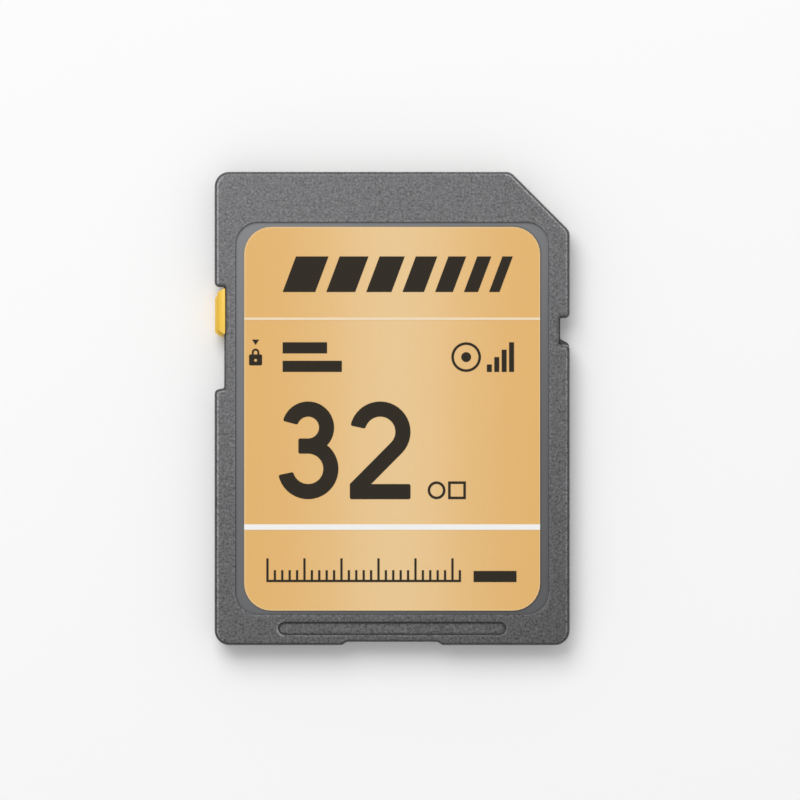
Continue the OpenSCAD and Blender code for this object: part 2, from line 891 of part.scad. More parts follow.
// Board, with its slanted corner, its cut-out beside the slider and two half-round notches
module circuit_board() {
    color([0.10, 0.30, 0.16])
    difference() {
        slab(space_corners(board_r + board_gap), board_z, board_top, board_gap);
        slab(guide_corners(), 0, card_t, -board_gap);
        for (side = [-1, 1])
            translate([side * space_x, boss_y, 0])
                cylinder(r = boss_r + board_gap, h = card_t, $fn = 32);
    }
}

module contact_pad(number) {
    i = number - 1;
    color([0.86, 0.68, 0.32])
    slab(
        box_corners(
            pad_x[i] - pad_width[i] / 2, pad_top[i] - pad_length[i],
            pad_x[i] + pad_width[i] / 2, pad_top[i], window_r
        ),
        contact_depth, board_z
    );
}

module flash_chip() {
    mark_r = 0.5;
    mark_inset = 1.2;
    mark_depth = 0.05;
    color([0.13, 0.13, 0.14])
    difference() {
        slab(
            box_corners(
                -flash_w / 2, flash_y - flash_l / 2,
                flash_w / 2, flash_y + flash_l / 2, board_r / 2
            ),
            board_top, board_top + flash_t
        );
        translate([-flash_w / 2 + mark_inset, flash_y + flash_l / 2 - mark_inset, 0])
            translate([0, 0, board_top + flash_t - mark_depth])
                cylinder(r = mark_r, h = far, $fn = 24);
    }
}

// Controller package, with a row of flat terminals along each side
module controller_chip() {
    stand_off = 0.04;
    pin_w = 0.22;
    pin_h = 0.2;
    pin_out = 0.05;
    pitch = (controller_w - 1) / controller_pins;
    color([0.15, 0.15, 0.16])
    translate([0, controller_y, board_top]) {
        block(
            [-controller_w / 2, -controller_w / 2, stand_off],
            [controller_w / 2, controller_w / 2, controller_t]
        );
        for (turn = [0:90:270])
            rotate([0, 0, turn])
                for (k = [0:controller_pins - 1])
                    translate([
                        (k - (controller_pins - 1) / 2) * pitch - pin_w / 2,
                        controller_w / 2 - 0.3,
                        0
                    ])
                        cube([pin_w, 0.3 + pin_out, pin_h]);
    }
}

// Ceramic body between two metal end caps
module two_terminal(x, y, turn, height) {
    cap_l = chip_l / 4;
    step = 0.02;
    translate([x, y, board_top])
        rotate([0, 0, turn]) {
            block([-chip_l / 2 + cap_l / 2, -chip_w / 2 + step, step],
                [chip_l / 2 - cap_l / 2, chip_w / 2 - step, height - step]);
            for (side = [-1, 1])
                translate([side * (chip_l - cap_l) / 2 - cap_l / 2, -chip_w / 2, 0])
                    cube([cap_l, chip_w, height]);
        }
}

beside = controller_w / 2 + 1.6;

module capacitor(number) {
    spots = [
        [-beside, controller_y - 1.5], [-beside, controller_y + 1.5],
        [beside, controller_y + 1], [beside + 1.5, controller_y + 1]
    ];
    color([0.72, 0.58, 0.42])
    two_terminal(spots[number - 1].x, spots[number - 1].y, 90, capacitor_h);
}

module resistor(number) {
    color([0.20, 0.20, 0.22])
    two_terminal(beside + 0.2, controller_y - 2.2 + number * 0.8 - 0.8, 0, resistor_h);
}

front_shell();
back_shell();
write_protect_slider();
label();
label_light_print();
label_dark_print();
circuit_board();
contact_pad(1);  // contact_pad_1
contact_pad(2);  // contact_pad_2
contact_pad(3);  // contact_pad_3
contact_pad(4);  // contact_pad_4
contact_pad(5);  // contact_pad_5
contact_pad(6);  // contact_pad_6
contact_pad(7);  // contact_pad_7
contact_pad(8);  // contact_pad_8
contact_pad(9);  // contact_pad_9
flash_chip();
controller_chip();
capacitor(1);  // capacitor_1
capacitor(2);  // capacitor_2
capacitor(3);  // capacitor_3
capacitor(4);  // capacitor_4
resistor(1);  // resistor_1
resistor(2);  // resistor_2
resistor(3);  // resistor_3
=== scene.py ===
"""Looks of a flat memory card with a sliding write-protect tab.

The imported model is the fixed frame. The script puts softened copies in place of its nodes,
gives every piece a finish, and prints a plain number and a lock sign on the label.
Sizes of the pieces are millimetres, with +X across the card and +Y to its contact edge.
"""

import sys
import logging
import math
from abc import ABC, abstractmethod
from dataclasses import dataclass, field
from enum import Enum
from typing import Sequence, Union

import bmesh
import bpy
from mathutils import Matrix, Vector


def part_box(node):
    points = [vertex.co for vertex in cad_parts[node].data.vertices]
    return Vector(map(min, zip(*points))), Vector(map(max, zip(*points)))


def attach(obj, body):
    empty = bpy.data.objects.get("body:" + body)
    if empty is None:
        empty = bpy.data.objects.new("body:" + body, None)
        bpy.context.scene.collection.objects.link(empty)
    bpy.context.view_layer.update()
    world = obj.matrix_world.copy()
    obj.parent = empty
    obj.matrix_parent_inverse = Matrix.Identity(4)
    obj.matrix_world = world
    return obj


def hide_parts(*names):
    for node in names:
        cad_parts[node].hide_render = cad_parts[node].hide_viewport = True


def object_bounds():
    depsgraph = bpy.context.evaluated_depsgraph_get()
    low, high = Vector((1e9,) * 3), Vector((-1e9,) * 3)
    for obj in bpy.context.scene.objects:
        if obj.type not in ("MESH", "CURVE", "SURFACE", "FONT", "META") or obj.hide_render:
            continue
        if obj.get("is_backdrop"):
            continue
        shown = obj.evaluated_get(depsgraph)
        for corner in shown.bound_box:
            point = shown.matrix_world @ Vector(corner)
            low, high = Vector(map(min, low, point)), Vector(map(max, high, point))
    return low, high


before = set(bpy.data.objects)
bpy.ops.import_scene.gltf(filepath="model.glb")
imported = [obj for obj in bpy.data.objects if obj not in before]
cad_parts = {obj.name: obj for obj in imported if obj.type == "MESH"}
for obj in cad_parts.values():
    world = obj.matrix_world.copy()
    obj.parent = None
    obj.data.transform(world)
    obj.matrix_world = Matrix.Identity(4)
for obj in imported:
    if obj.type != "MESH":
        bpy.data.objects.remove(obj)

LOG = logging.getLogger("card")
MM = 0.001
WELD_WITHIN = 1e-5
LEVEL_WITHIN = 1e-6
CORNER_DEG = 50.0

Triple = tuple[float, float, float]
Colour = Triple
Ramp = tuple[float, float]


def mirrored(ramp: Ramp) -> Ramp:
    """The ends of the same soft step on the other side of 0."""
    return -ramp[0], -ramp[1]


class Body(Enum):
    """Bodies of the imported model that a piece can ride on."""

    CARD = "card"
    SLIDER = "slider"


class Slot(Enum):
    """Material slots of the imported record."""

    SHELL = "shell_grey"
    TAB = "slider_yellow"
    FILM = "label_gold"
    DARK = "print_dark"
    BOARD = "board_green"
    CONTACT = "contact_gold"
    PACKAGE = "chip_black"
    CAPACITOR = "capacitor_tan"
    RESISTOR = "resistor_black"


class Join(Enum):
    """How one closed mesh is combined with another."""

    ADD = "UNION"
    CUT = "DIFFERENCE"


@dataclass(frozen=True)
class Outline:
    """A rectangle with rounded corners, seen from the front, in millimetres."""

    low: tuple[float, float]
    high: tuple[float, float]
    corner: float

    def grown(self, left: float, front: float, rear: float, corner: float) -> "Outline":
        """The outline of a recess round this one.

        Args:
            left: Gap at the left and right side.
            front: Gap at the front end.
            rear: Gap at the rear end.
            corner: Radius of the recess's corners.

        Returns:
            The recess's outline.
        """
        low = (self.low[0] - left, self.low[1] - rear)
        high = (self.high[0] + left, self.high[1] + front)
        return Outline(low, high, corner)


@dataclass(frozen=True)
class Wire:
    """An output socket of a node tree, with arithmetic that adds Math nodes."""

    recipe: "Recipe"
    socket: bpy.types.NodeSocket

    def math(self, operation: str, *others: "Value") -> "Wire":
        """The result of a Math node that takes this value first."""
        return self.recipe.maths(operation, self, *others)

    def __add__(self, other: "Value") -> "Wire":
        """This value plus another."""
        return self.math("ADD", other)

    def __radd__(self, other: "Value") -> "Wire":
        """Another value plus this one."""
        return self.math("ADD", other)

    def __sub__(self, other: "Value") -> "Wire":
        """This value less another."""
        return self.math("SUBTRACT", other)

    def __rsub__(self, other: "Value") -> "Wire":
        """Another value less this one."""
        return self.recipe.maths("SUBTRACT", other, self)

    def __mul__(self, other: "Value") -> "Wire":
        """This value times another."""
        return self.math("MULTIPLY", other)

    def __rmul__(self, other: "Value") -> "Wire":
        """Another value times this one."""
        return self.math("MULTIPLY", other)

    def __truediv__(self, other: "Value") -> "Wire":
        """This value divided by another."""
        return self.math("DIVIDE", other)

    def __rtruediv__(self, other: "Value") -> "Wire":
        """Another value divided by this one."""
        return self.recipe.maths("DIVIDE", other, self)


Value = Union[float, Wire]


class Recipe:
    """Builds the node tree of a material or of the world."""

    def __init__(self, owner: Union[bpy.types.Material, bpy.types.World]) -> None:
        """Starts with an empty tree.

        Args:
            owner: The material or world whose tree is built.
        """
        owner.use_nodes = True
        self.tree = owner.node_tree
        self.tree.nodes.clear()

    def node(self, kind: str, settings: dict, sockets: dict) -> bpy.types.Node:
        """Adds a node.

        Args:
            kind: The node's type, without its first word ShaderNode.
            settings: The node's own settings, which are set first.
            sockets: The value or wire of each input, by name or number.

        Returns:
            The node.
        """
        made = self.tree.nodes.new("ShaderNode" + kind)
        for name, value in settings.items():
            setattr(made, name, value)
        for name, value in sockets.items():
            if isinstance(value, Wire):
                self.tree.links.new(value.socket, made.inputs[name])
            else:
                made.inputs[name].default_value = value
        return made

    def wire(self, kind: str, settings: dict, sockets: dict, output: Union[int, str] = 0) -> Wire:
        """Adds a node and gives one of its outputs, by its name or number."""
        return Wire(self, self.node(kind, settings, sockets).outputs[output])

    def maths(self, operation: str, *values: "Value") -> Wire:
        """The result of a Math node on values or wires."""
        return self.wire("Math", {"operation": operation}, dict(enumerate(values)))

    def place(self) -> Wire:
        """A point's place on the card, in millimetres."""
        metres = self.wire("TexCoord", {}, {}, "Object")
        return self.wire("VectorMath", {"operation": "SCALE"}, {0: metres, "Scale": 1 / MM})

    def normal(self) -> Wire:
        """The direction that a point's surface faces."""
        return self.wire("TexCoord", {}, {}, "Normal")

    def axis(self, vector: Wire, letter: str) -> Wire:
        """One component of a vector, by its letter."""
        return self.wire("SeparateXYZ", {}, {0: vector}, letter)

    def stretched(self, place: Wire, scale: Triple) -> Wire:
        """A place with each of its three directions scaled."""
        return self.wire("VectorMath", {"operation": "MULTIPLY"}, {0: place, 1: scale})

    def noise(self, place: Wire, per_mm: float = 1.0, detail: float = 2.0) -> Wire:
        """Noise from 0 to 1, by its swells in a millimetre and the finer layers over them."""
        return self.wire("TexNoise", {}, {"Vector": place, "Scale": per_mm, "Detail": detail})

    def ripple(self, place: Wire, per_mm: float = 1.0, detail: float = 2.0) -> Wire:
        """The same noise, which swings round 0."""
        return self.noise(place, per_mm, detail) - 0.5

    def inside(self, place: Wire, outline: Outline) -> Wire:
        """How far a point lies inside an outline, or outside it where it is negative.

        Args:
            place: The point, in millimetres.
            outline: The outline.

        Returns:
            The distance, in millimetres.
        """
        pairs = list(zip(outline.low, outline.high))
        middle = [(a + b) / 2 for a, b in pairs]
        inner = [(b - a) / 2 - outline.corner for a, b in pairs]
        flat = self.stretched(place, (1.0, 1.0, 0.0))
        for operation, vector in (
            ("SUBTRACT", (*middle, 0.0)),
            ("ABSOLUTE", (0.0, 0.0, 0.0)),
            ("SUBTRACT", (*inner, 0.0)),
            ("MAXIMUM", (0.0, 0.0, 0.0)),
        ):
            flat = self.wire("VectorMath", {"operation": operation}, {0: flat, 1: vector})
        length = self.wire("VectorMath", {"operation": "LENGTH"}, {0: flat}, "Value")
        return outline.corner - length

    def step(self, value: "Value", low: float, high: float) -> Wire:
        """A soft step from 0 at low to 1 at high, or down from 1 where low is the larger."""
        sockets = {"Value": value, "From Min": low, "From Max": high}
        return self.wire("MapRange", {"interpolation_type": "SMOOTHSTEP"}, sockets)

    def blend(self, mask: "Value", first: Union[Colour, Wire], second: Union[Colour, Wire]) -> Wire:
        """The first colour where the mask is 0 and the second where it is 1.

        Args:
            mask: The second colour's share.
            first: The first colour.
            second: The second colour.

        Returns:
            The blend.
        """
        colours = [c if isinstance(c, Wire) else (*c, 1.0) for c in (first, second)]
        sockets = {0: mask, 6: colours[0], 7: colours[1]}
        return self.wire("Mix", {"data_type": "RGBA"}, sockets, 2)

    def toned(self, colour: Union[Colour, Wire], tone: "Value") -> Wire:
        """A colour made lighter or darker by a factor."""
        return self.wire("VectorMath", {"operation": "SCALE"}, {0: colour, "Scale": tone})

    def bump(self, height: Wire, depth_mm: float) -> Wire:
        """The bent normal of a height, where 1 stands the depth above 0."""
        return self.wire("Bump", {}, {"Distance": depth_mm * MM, "Height": height})


@dataclass(frozen=True)
class Finish(ABC):
    """A finish, which becomes one material."""

    name: str

    def material(self) -> bpy.types.Material:
        """Makes the material of this finish.

        Returns:
            The material.
        """
        made = bpy.data.materials.new(self.name)
        recipe = Recipe(made)
        shader = recipe.wire("BsdfPrincipled", {}, self.surface(recipe))
        recipe.node("OutputMaterial", {}, {"Surface": shader})
        return made

    @abstractmethod
    def surface(self, recipe: Recipe) -> dict[str, object]:
        """The values and wires of the surface shader's sockets.

        Args:
            recipe: The material's node tree.

        Returns:
            A value or wire for each socket that the finish sets.
        """


@dataclass(frozen=True)
class NoiseLayer:
    """A layer of noise, with its share in a pattern."""

    per_mm: float
    detail: float
    share: float

    def wire(self, recipe: Recipe, place: Wire) -> Wire:
        """The layer's noise, which swings round 0."""
        return recipe.ripple(place, self.per_mm, self.detail)


@dataclass(frozen=True)
class SparkGrain:
    """Grain that a spark-eroded mould leaves: pits, swells, wrinkles and pale specks."""

    pits: NoiseLayer = NoiseLayer(per_mm=6.6, detail=1.0, share=1.9)
    swells: NoiseLayer = NoiseLayer(per_mm=3.4, detail=2.0, share=0.35)
    wrinkles: NoiseLayer = NoiseLayer(per_mm=4.8, detail=1.0, share=1.2)
    specks: NoiseLayer = NoiseLayer(per_mm=7.4, detail=0.0, share=0.2)
    wrinkle_mean: float = 0.08
    speck_ramp: Ramp = (0.08, 0.20)

    def height(self, recipe: Recipe, place: Wire) -> Wire:
        """The height of the grain.

        Args:
            recipe: The material's node tree.
            place: A point's place on the card, in millimetres.

        Returns:
            The height, which swings round 0.
        """
        folds = self.wrinkles.wire(recipe, place).math("ABSOLUTE")
        specks = recipe.step(self.specks.wire(recipe, place), *self.speck_ramp)
        height = self.pits.wire(recipe, place) * self.pits.share
        height = height + self.swells.wire(recipe, place) * self.swells.share
        height = height + (self.wrinkle_mean - folds) * self.wrinkles.share
        return height + specks * self.specks.share


@dataclass(frozen=True)
class EdgeTone:
    """Painted light and shade of the outer edges: painted shade on the flanks and ledges, and painted
    highlights on the shoulders.

    A face's level is 1 where it looks straight up or down and 0 where it stands upright.
    Its heading is how far its level direction points along an axis, from -1 to 1.
    """

    notch_wall: Outline
    side_x: float = 11.3
    rail_x: float = 11.25
    slant_sum: float = 23.35
    fade: float = 0.1
    notches_y: Ramp = (9.0, 8.5)
    heading_ramp: Ramp = (0.35, 0.75)
    least_level: float = 0.0001
    right_half: Ramp = (0.0, 1.0)
    flank_ramp: Ramp = (0.93, 0.81)
    shoulder_start: Ramp = (0.86, 0.93)
    shoulder_end: Ramp = (0.9996, 0.988)
    ledge_edge: Ramp = (-0.02, 0.01)
    ledge_ramp: Ramp = (0.5, 0.8)
    # Painted highlight on the edge shoulders: its share on the right side and at the slanted corner,
    # and its least and full strength.
    right_highlight: float = 0.62
    slant_highlight: float = 0.95
    least_pale: float = 0.1
    highlight_pale: float = 0.9
    # Painted highlight at the notches' rear ends and painted shade at their front ends.
    rear_pale: float = 0.35
    front_dark: float = 0.25
    # Painted shade on the edge flanks, and how much of it is lifted beside the slider's wall and at
    # the notches' rear ends.
    flank_dark: float = 0.52
    flank_dark_x: float = 0.006
    wall_ramp: Ramp = (0.0, 0.04)
    wall_lift: float = 0.85
    rear_lift: float = 0.6
    # Painted shade on the ledges.
    ledge_dark: float = 0.5

    def heading(self, recipe: Recipe, facing: Wire, axis: str) -> Wire:
        """How far a surface's level direction points along an axis.

        Args:
            recipe: The material's node tree.
            facing: The direction that the surface faces.
            axis: The axis, by its letter.

        Returns:
            The share, from -1 to 1.
        """
        upward = recipe.axis(facing, "Z")
        level = (1 + self.least_level - upward * upward).math("SQRT")
        return recipe.axis(facing, axis) / level

    def wear_and_highlight(self, recipe: Recipe, place: Wire, facing: Wire) -> Wire:
        """How strong the painted highlight on the outer edges is: the left side most, the right side
        least.

        Args:
            recipe: The material's node tree.
            place: A point's place on the card, in millimetres.
            facing: The direction that its surface faces.

        Returns:
            The share, which is 0 at the two ends of the card and in its notches.
        """
        across = recipe.axis(place, "X")
        aside = self.heading(recipe, facing, "X")
        side = (self.side_x, self.side_x + self.fade)
        left = recipe.step(across, *mirrored(side))
        left = left * recipe.step(aside, *mirrored(self.heading_ramp))
        right = recipe.step(across, *side) * recipe.step(aside, *self.heading_ramp)
        sums = across + recipe.axis(place, "Y")
        slant = recipe.step(sums, self.slant_sum, self.slant_sum + self.fade)
        right = (right * self.right_highlight).math("MAXIMUM", slant * self.slant_highlight)
        return left.math("MAXIMUM", right)

    def notch_ends(self, recipe: Recipe, place: Wire, facing: Wire) -> tuple[Wire, Wire]:
        """The edges at the two ends of the side notches.

        Args:
            recipe: The material's node tree.
            place: A point's place on the card, in millimetres.
            facing: The direction that its surface faces.

        Returns:
            1 at the notches' front ends, and 1 at their rear ends.
        """
        ahead = self.heading(recipe, facing, "Y")
        beside = recipe.axis(place, "X").math("ABSOLUTE")
        notched = recipe.step(recipe.axis(place, "Y").math("ABSOLUTE"), *self.notches_y)
        notched = notched * recipe.step(beside, self.side_x - self.fade / 2, self.side_x)
        front = notched * recipe.step(ahead, *mirrored(self.heading_ramp))
        return front, notched * recipe.step(ahead, *self.heading_ramp)

    def ledge(self, recipe: Recipe, place: Wire, upward: Wire, top: Wire) -> Wire:
        """The ledges below the front face, beside the notches and over the side rails.

        Args:
            recipe: The material's node tree.
            place: A point's place on the card, in millimetres.
            upward: How far its surface faces up.
            top: 1 at the height of the front face.

        Returns:
            1 on a ledge, and 0 elsewhere.
        """
        beside = recipe.axis(place, "X").math("ABSOLUTE")
        ledge = recipe.step(beside - self.rail_x, *self.ledge_edge) * (1 - top)
        return ledge * recipe.step(upward, *self.ledge_ramp)

    def tone(self, recipe: Recipe, place: Wire, facing: Wire, top: Wire) -> Wire:
        """The painted shade and highlights that the edges give the plastic.

        Args:
            recipe: The material's node tree.
            place: A point's place on the card, in millimetres.
            facing: The direction that its surface faces.
            top: 1 at the height of the front face.

        Returns:
            The tone, which is 1 away from the edges.
        """
        across = recipe.axis(place, "X")
        upward = recipe.axis(facing, "Z")
        level = upward.math("ABSOLUTE")
        corner = {0: across.math("ABSOLUTE"), 1: recipe.axis(place, "Y")}
        folded = recipe.wire("CombineXYZ", {}, corner)
        wall = recipe.step(recipe.inside(folded, self.notch_wall), *self.wall_ramp)
        # Painted shade at the notches' front ends and painted highlight at their rear ends.
        front, rear = self.notch_ends(recipe, place, facing)
        ends = front * self.front_dark - rear * self.rear_lift
        ends = ends * recipe.step(across, *self.right_half)
        # Painted shade on the steep flanks of the rounded edges, lifted beside the slider's wall; on
        # the right-hand side it grows at the notches' front ends and lifts at their rear ends.
        flank = recipe.step(level, *self.flank_ramp) * (1 - wall * self.wall_lift) * (1 + ends)
        dark = flank * (self.flank_dark - across * self.flank_dark_x)
        # Painted highlight on the shoulders of the rounded edges, strongest on the left side.
        shoulder = recipe.step(level, *self.shoulder_start)
        shoulder = shoulder * recipe.step(level, *self.shoulder_end)
        wear_and_highlight = self.wear_and_highlight(recipe, place, facing) * self.highlight_pale + self.least_pale
        pale = shoulder * (wear_and_highlight + rear * self.rear_pale - front * self.front_dark)
        # Painted shade on the ledges below the front face.
        ledge = self.ledge(recipe, place, upward, top)
        return (1 - dark) * (1 + pale) * (1 - ledge * self.ledge_dark)


@dataclass(frozen=True)
class RecessTone:
    """Tone of the label's recess: its paler floor with a painted light gradient, painted shadow in the
    crease at the film and painted highlights on the brim.

    The ramps on a distance count it inwards from the recess's or the film's outline.
    """

    recess: Outline
    film: Outline
    # Painted shadow in the crease beside the film.
    crease_ramp: Ramp = (-0.16, -0.01)
    crease_dark: float = 0.3
    right_half: Ramp = (0.0, 8.0)
    # Painted highlight on the recess's brim, stronger at its rear end.
    brim_start: Ramp = (-0.34, -0.10)
    brim_end: Ramp = (0.0, -0.04)
    brim_pale: float = 0.06
    rear_brim_y: Ramp = (-12.0, -12.8)
    rear_brim_pale: float = 0.12
    floor_pale: float = 0.16
    floor_x: float = -0.006
    floor_y: float = 0.009
    waist_y: Ramp = (9.0, 2.0)
    waist_dark: float = 0.035
    right_waist_dark: float = 0.08
    rear_floor_y: Ramp = (-11.8, -12.4)
    rear_floor_pale: float = 0.06
    # Painted highlight on the brim's corner that faces the lamp.
    arc_start: Ramp = (-0.13, -0.08)
    arc_end: Ramp = (0.0, -0.03)
    arc_turn: Ramp = (-0.1, 0.3)
    arc_pale: float = 0.5

    def lit_arc(self, recipe: Recipe, place: Wire) -> Wire:
        """The recess's brim at the corner that faces the lamp, where a painted highlight lies.

        Args:
            recipe: The material's node tree.
            place: A point's place on the card, in millimetres.

        Returns:
            1 along that arc, and 0 elsewhere.
        """
        within = recipe.inside(place, self.recess)
        turn = self.recess.high[0] - self.recess.low[1] - self.recess.corner
        away = recipe.axis(place, "X") - recipe.axis(place, "Y") - turn
        line = recipe.step(within, *self.arc_start) * recipe.step(within, *self.arc_end)
        return line * recipe.step(away, *self.arc_turn)

    def floor(self, recipe: Recipe, place: Wire) -> Wire:
        """How much paler than the rest the recess's floor is: a painted light gradient, paler towards
        the contact end and the left side, and darker round its middle and paler at its rear end.

        Args:
            recipe: The material's node tree.
            place: A point's place on the card, in millimetres.

        Returns:
            What is added to the tone.
        """
        across = recipe.axis(place, "X")
        along = recipe.axis(place, "Y")
        waist = recipe.step(along.math("ABSOLUTE"), *self.waist_y)
        right = recipe.step(across, *self.right_half) * self.right_waist_dark
        rear = recipe.step(along, *self.rear_floor_y) * self.rear_floor_pale
        # Painted light gradient across the floor, paler towards the lamp.
        slope = along * self.floor_y + across * self.floor_x
        return self.floor_pale + slope - waist * (right + self.waist_dark) + rear

    def tone(self, recipe: Recipe, place: Wire, floor: Wire) -> Wire:
        """The painted light and shade that the recess gives the plastic.

        Args:
            recipe: The material's node tree.
            place: A point's place on the card, in millimetres.
            floor: 1 on the recess's floor.

        Returns:
            The tone, which is 1 away from the recess.
        """
        within = recipe.inside(place, self.recess)
        # Painted shadow in the crease beside the film, on the right half of the recess floor.
        crease = recipe.step(recipe.inside(place, self.film), *self.crease_ramp)
        crease = crease * recipe.step(recipe.axis(place, "X"), *self.right_half) * floor
        # Painted highlight on the recess's brim, stronger at its rear end.
        brim = recipe.step(within, *self.brim_start) * recipe.step(within, *self.brim_end)
        rear = recipe.step(recipe.axis(place, "Y"), *self.rear_brim_y) * self.rear_brim_pale
        brim = brim * (rear + self.brim_pale)
        # Painted highlight on the brim's corner that faces the lamp.
        arc = self.lit_arc(recipe, place) * self.arc_pale
        pale = floor * self.floor(recipe, place) + brim + arc
        return (1 + pale) * (1 - crease * self.crease_dark)


@dataclass(frozen=True)
class GrooveTone:
    """Tone of the grip groove: painted shade on its lips, painted light in its trough and a painted
    highlight on its rear rim and round its ends.

    The ramps count a distance inwards from the groove's outline.
    """

    groove: Outline
    half_blend: float = 0.15
    end_blend: float = 0.2
    # Painted shade on the lips, wider on the front lip.
    lip_shift: float = 0.06
    lip_start: Ramp = (-0.09, -0.02)
    lip_end: Ramp = (0.12, 0.02)
    lip_dark: float = 0.35
    # Painted light that lifts the trough.
    trough_ramp: Ramp = (0.06, 0.14)
    trough_pale: float = 0.16
    # Painted highlight on the rear rim and round the ends.
    rim_start: Ramp = (-0.22, -0.15)
    rim_end: Ramp = (-0.04, -0.09)
    rim_pale: float = 0.25
    end_pale: float = 0.6
    end_pale_x: float = 0.05
    front_end_share: float = 0.4

    def tone(self, recipe: Recipe, place: Wire) -> Wire:
        """The painted light and shade that the groove gives the plastic.

        Args:
            recipe: The material's node tree.
            place: A point's place on the card, in millimetres.

        Returns:
            The tone, which is 1 away from the groove.
        """
        across = recipe.axis(place, "X")
        trench = recipe.inside(place, self.groove)
        ahead = recipe.axis(place, "Y") - (self.groove.low[1] + self.groove.high[1]) / 2
        front = recipe.step(ahead, -self.half_blend, self.half_blend)
        past = across.math("ABSOLUTE") - (self.groove.high[0] - self.groove.corner)
        end = recipe.step(past, 0.0, self.end_blend)
        # Painted shade on the lips, wider on the front lip.
        lip = recipe.step(trench + front * self.lip_shift, *self.lip_start)
        lip = lip * recipe.step(trench, *self.lip_end)
        # Painted light that lifts the trough.
        trough = recipe.step(trench, *self.trough_ramp)
        # Painted highlight on the rear rim and round the ends.
        rim = recipe.step(trench, *self.rim_start) * recipe.step(trench, *self.rim_end)
        rim = rim * (1 - front * (1 - end * self.front_end_share))
        rim = rim * (end * (self.end_pale - across * self.end_pale_x) + self.rim_pale)
        return (1 + trough * self.trough_pale + rim) * (1 - lip * self.lip_dark)


@dataclass(frozen=True)
class MouldedPlastic(Finish):
    """Grey plastic from a spark-eroded mould, with painted light and shade along its edges, in its
    label recess and in its grip groove.
    """

    edges: EdgeTone
    recess: RecessTone
    groove: GrooveTone
    recess_z: float
    contact_z: float
    grain: SparkGrain = SparkGrain()
    colour: Colour = (0.120, 0.120, 0.1235)
    recess_colour: Colour = (0.131, 0.133, 0.1395)
    # Painted light gradient: paler towards the contact end and the left side, where the lamp stands.
    light_gradient_x: float = -0.0087
    light_gradient_y: float = 0.018
    upward_ramp: Ramp = (0.0, 0.4)
    face_height: Ramp = (-0.10, -0.04)
    floor_edge: Ramp = (0.0, 0.03)
    floor_ramp: Ramp = (0.9, 0.97)
    rail_edge: Ramp = (0.0, 0.05)
    rail_height: Ramp = (0.08, 0.05)
    patches: NoiseLayer = NoiseLayer(per_mm=0.25, detail=2.0, share=0.08)
    rail_smooth: float = 0.6
    grain_fade: float = 0.5
    roughness: float = 0.54
    grain_rough: float = 0.15
    floor_gloss: float = 0.1
    rail_gloss: float = 0.12
    specular: float = 0.3
    grain_depth: float = 0.012

    def rail(self, recipe: Recipe, place: Wire) -> Wire:
        """The rails along the card's sides, polished by slots.

        Args:
            recipe: The material's node tree.
            place: A point's place on the card, in millimetres.

        Returns:
            1 on the rails' lower faces, and 0 elsewhere.
        """
        height = recipe.axis(place, "Z") - self.contact_z
        beside = recipe.axis(place, "X").math("ABSOLUTE") - self.edges.rail_x
        return recipe.step(beside, *self.rail_edge) * recipe.step(height, *self.rail_height)

    def surface(self, recipe: Recipe) -> dict[str, object]:
        """Mottled grey with painted shade on the edge flanks, painted highlights on the edge
        shoulders, a painted light gradient and a smooth label recess.

        Args:
            recipe: The material's node tree.

        Returns:
            The sockets of the surface shader.
        """
        place = recipe.place()
        facing = recipe.normal()
        upward = recipe.axis(facing, "Z")
        top = recipe.step(recipe.axis(place, "Z") - self.recess_z, *self.face_height)
        floor = recipe.step(recipe.inside(place, self.recess.recess), *self.floor_edge) * top
        floor = floor * recipe.step(upward, *self.floor_ramp)
        rail = self.rail(recipe, place)

        # Painted light gradient on faces that look up, paler towards the lamp.
        light_gradient = recipe.axis(place, "Y") * self.light_gradient_y + recipe.axis(place, "X") * self.light_gradient_x
        light_gradient = light_gradient * recipe.step(upward, *self.upward_ramp)
        smooth = floor.math("MAXIMUM", rail * self.rail_smooth)
        smooth = smooth.math("MAXIMUM", self.recess.lit_arc(recipe, place))
        grain = self.grain.height(recipe, place) * (1 - smooth)
        # Painted light and shade of the label recess and the grip groove, on the front face only.
        recess_and_groove_light = self.recess.tone(recipe, place, floor) * self.groove.tone(recipe, place) - 1
        tone = (1 + light_gradient) * (1 + grain * (1 - light_gradient * self.grain_fade))
        tone = tone + self.patches.wire(recipe, place) * self.patches.share
        # Painted shade and highlights of the edges.
        tone = tone * self.edges.tone(recipe, place, facing, top) * (1 + recess_and_groove_light * top)
        colour = recipe.blend(floor, self.colour, self.recess_colour)
        rough = self.roughness + grain * self.grain_rough
        return {
            "Base Color": recipe.toned(colour, tone),
            "Roughness": rough - floor * self.floor_gloss - rail * self.rail_gloss,
            "Specular IOR Level": self.specular,
            "Normal": recipe.bump(grain, self.grain_depth),
        }


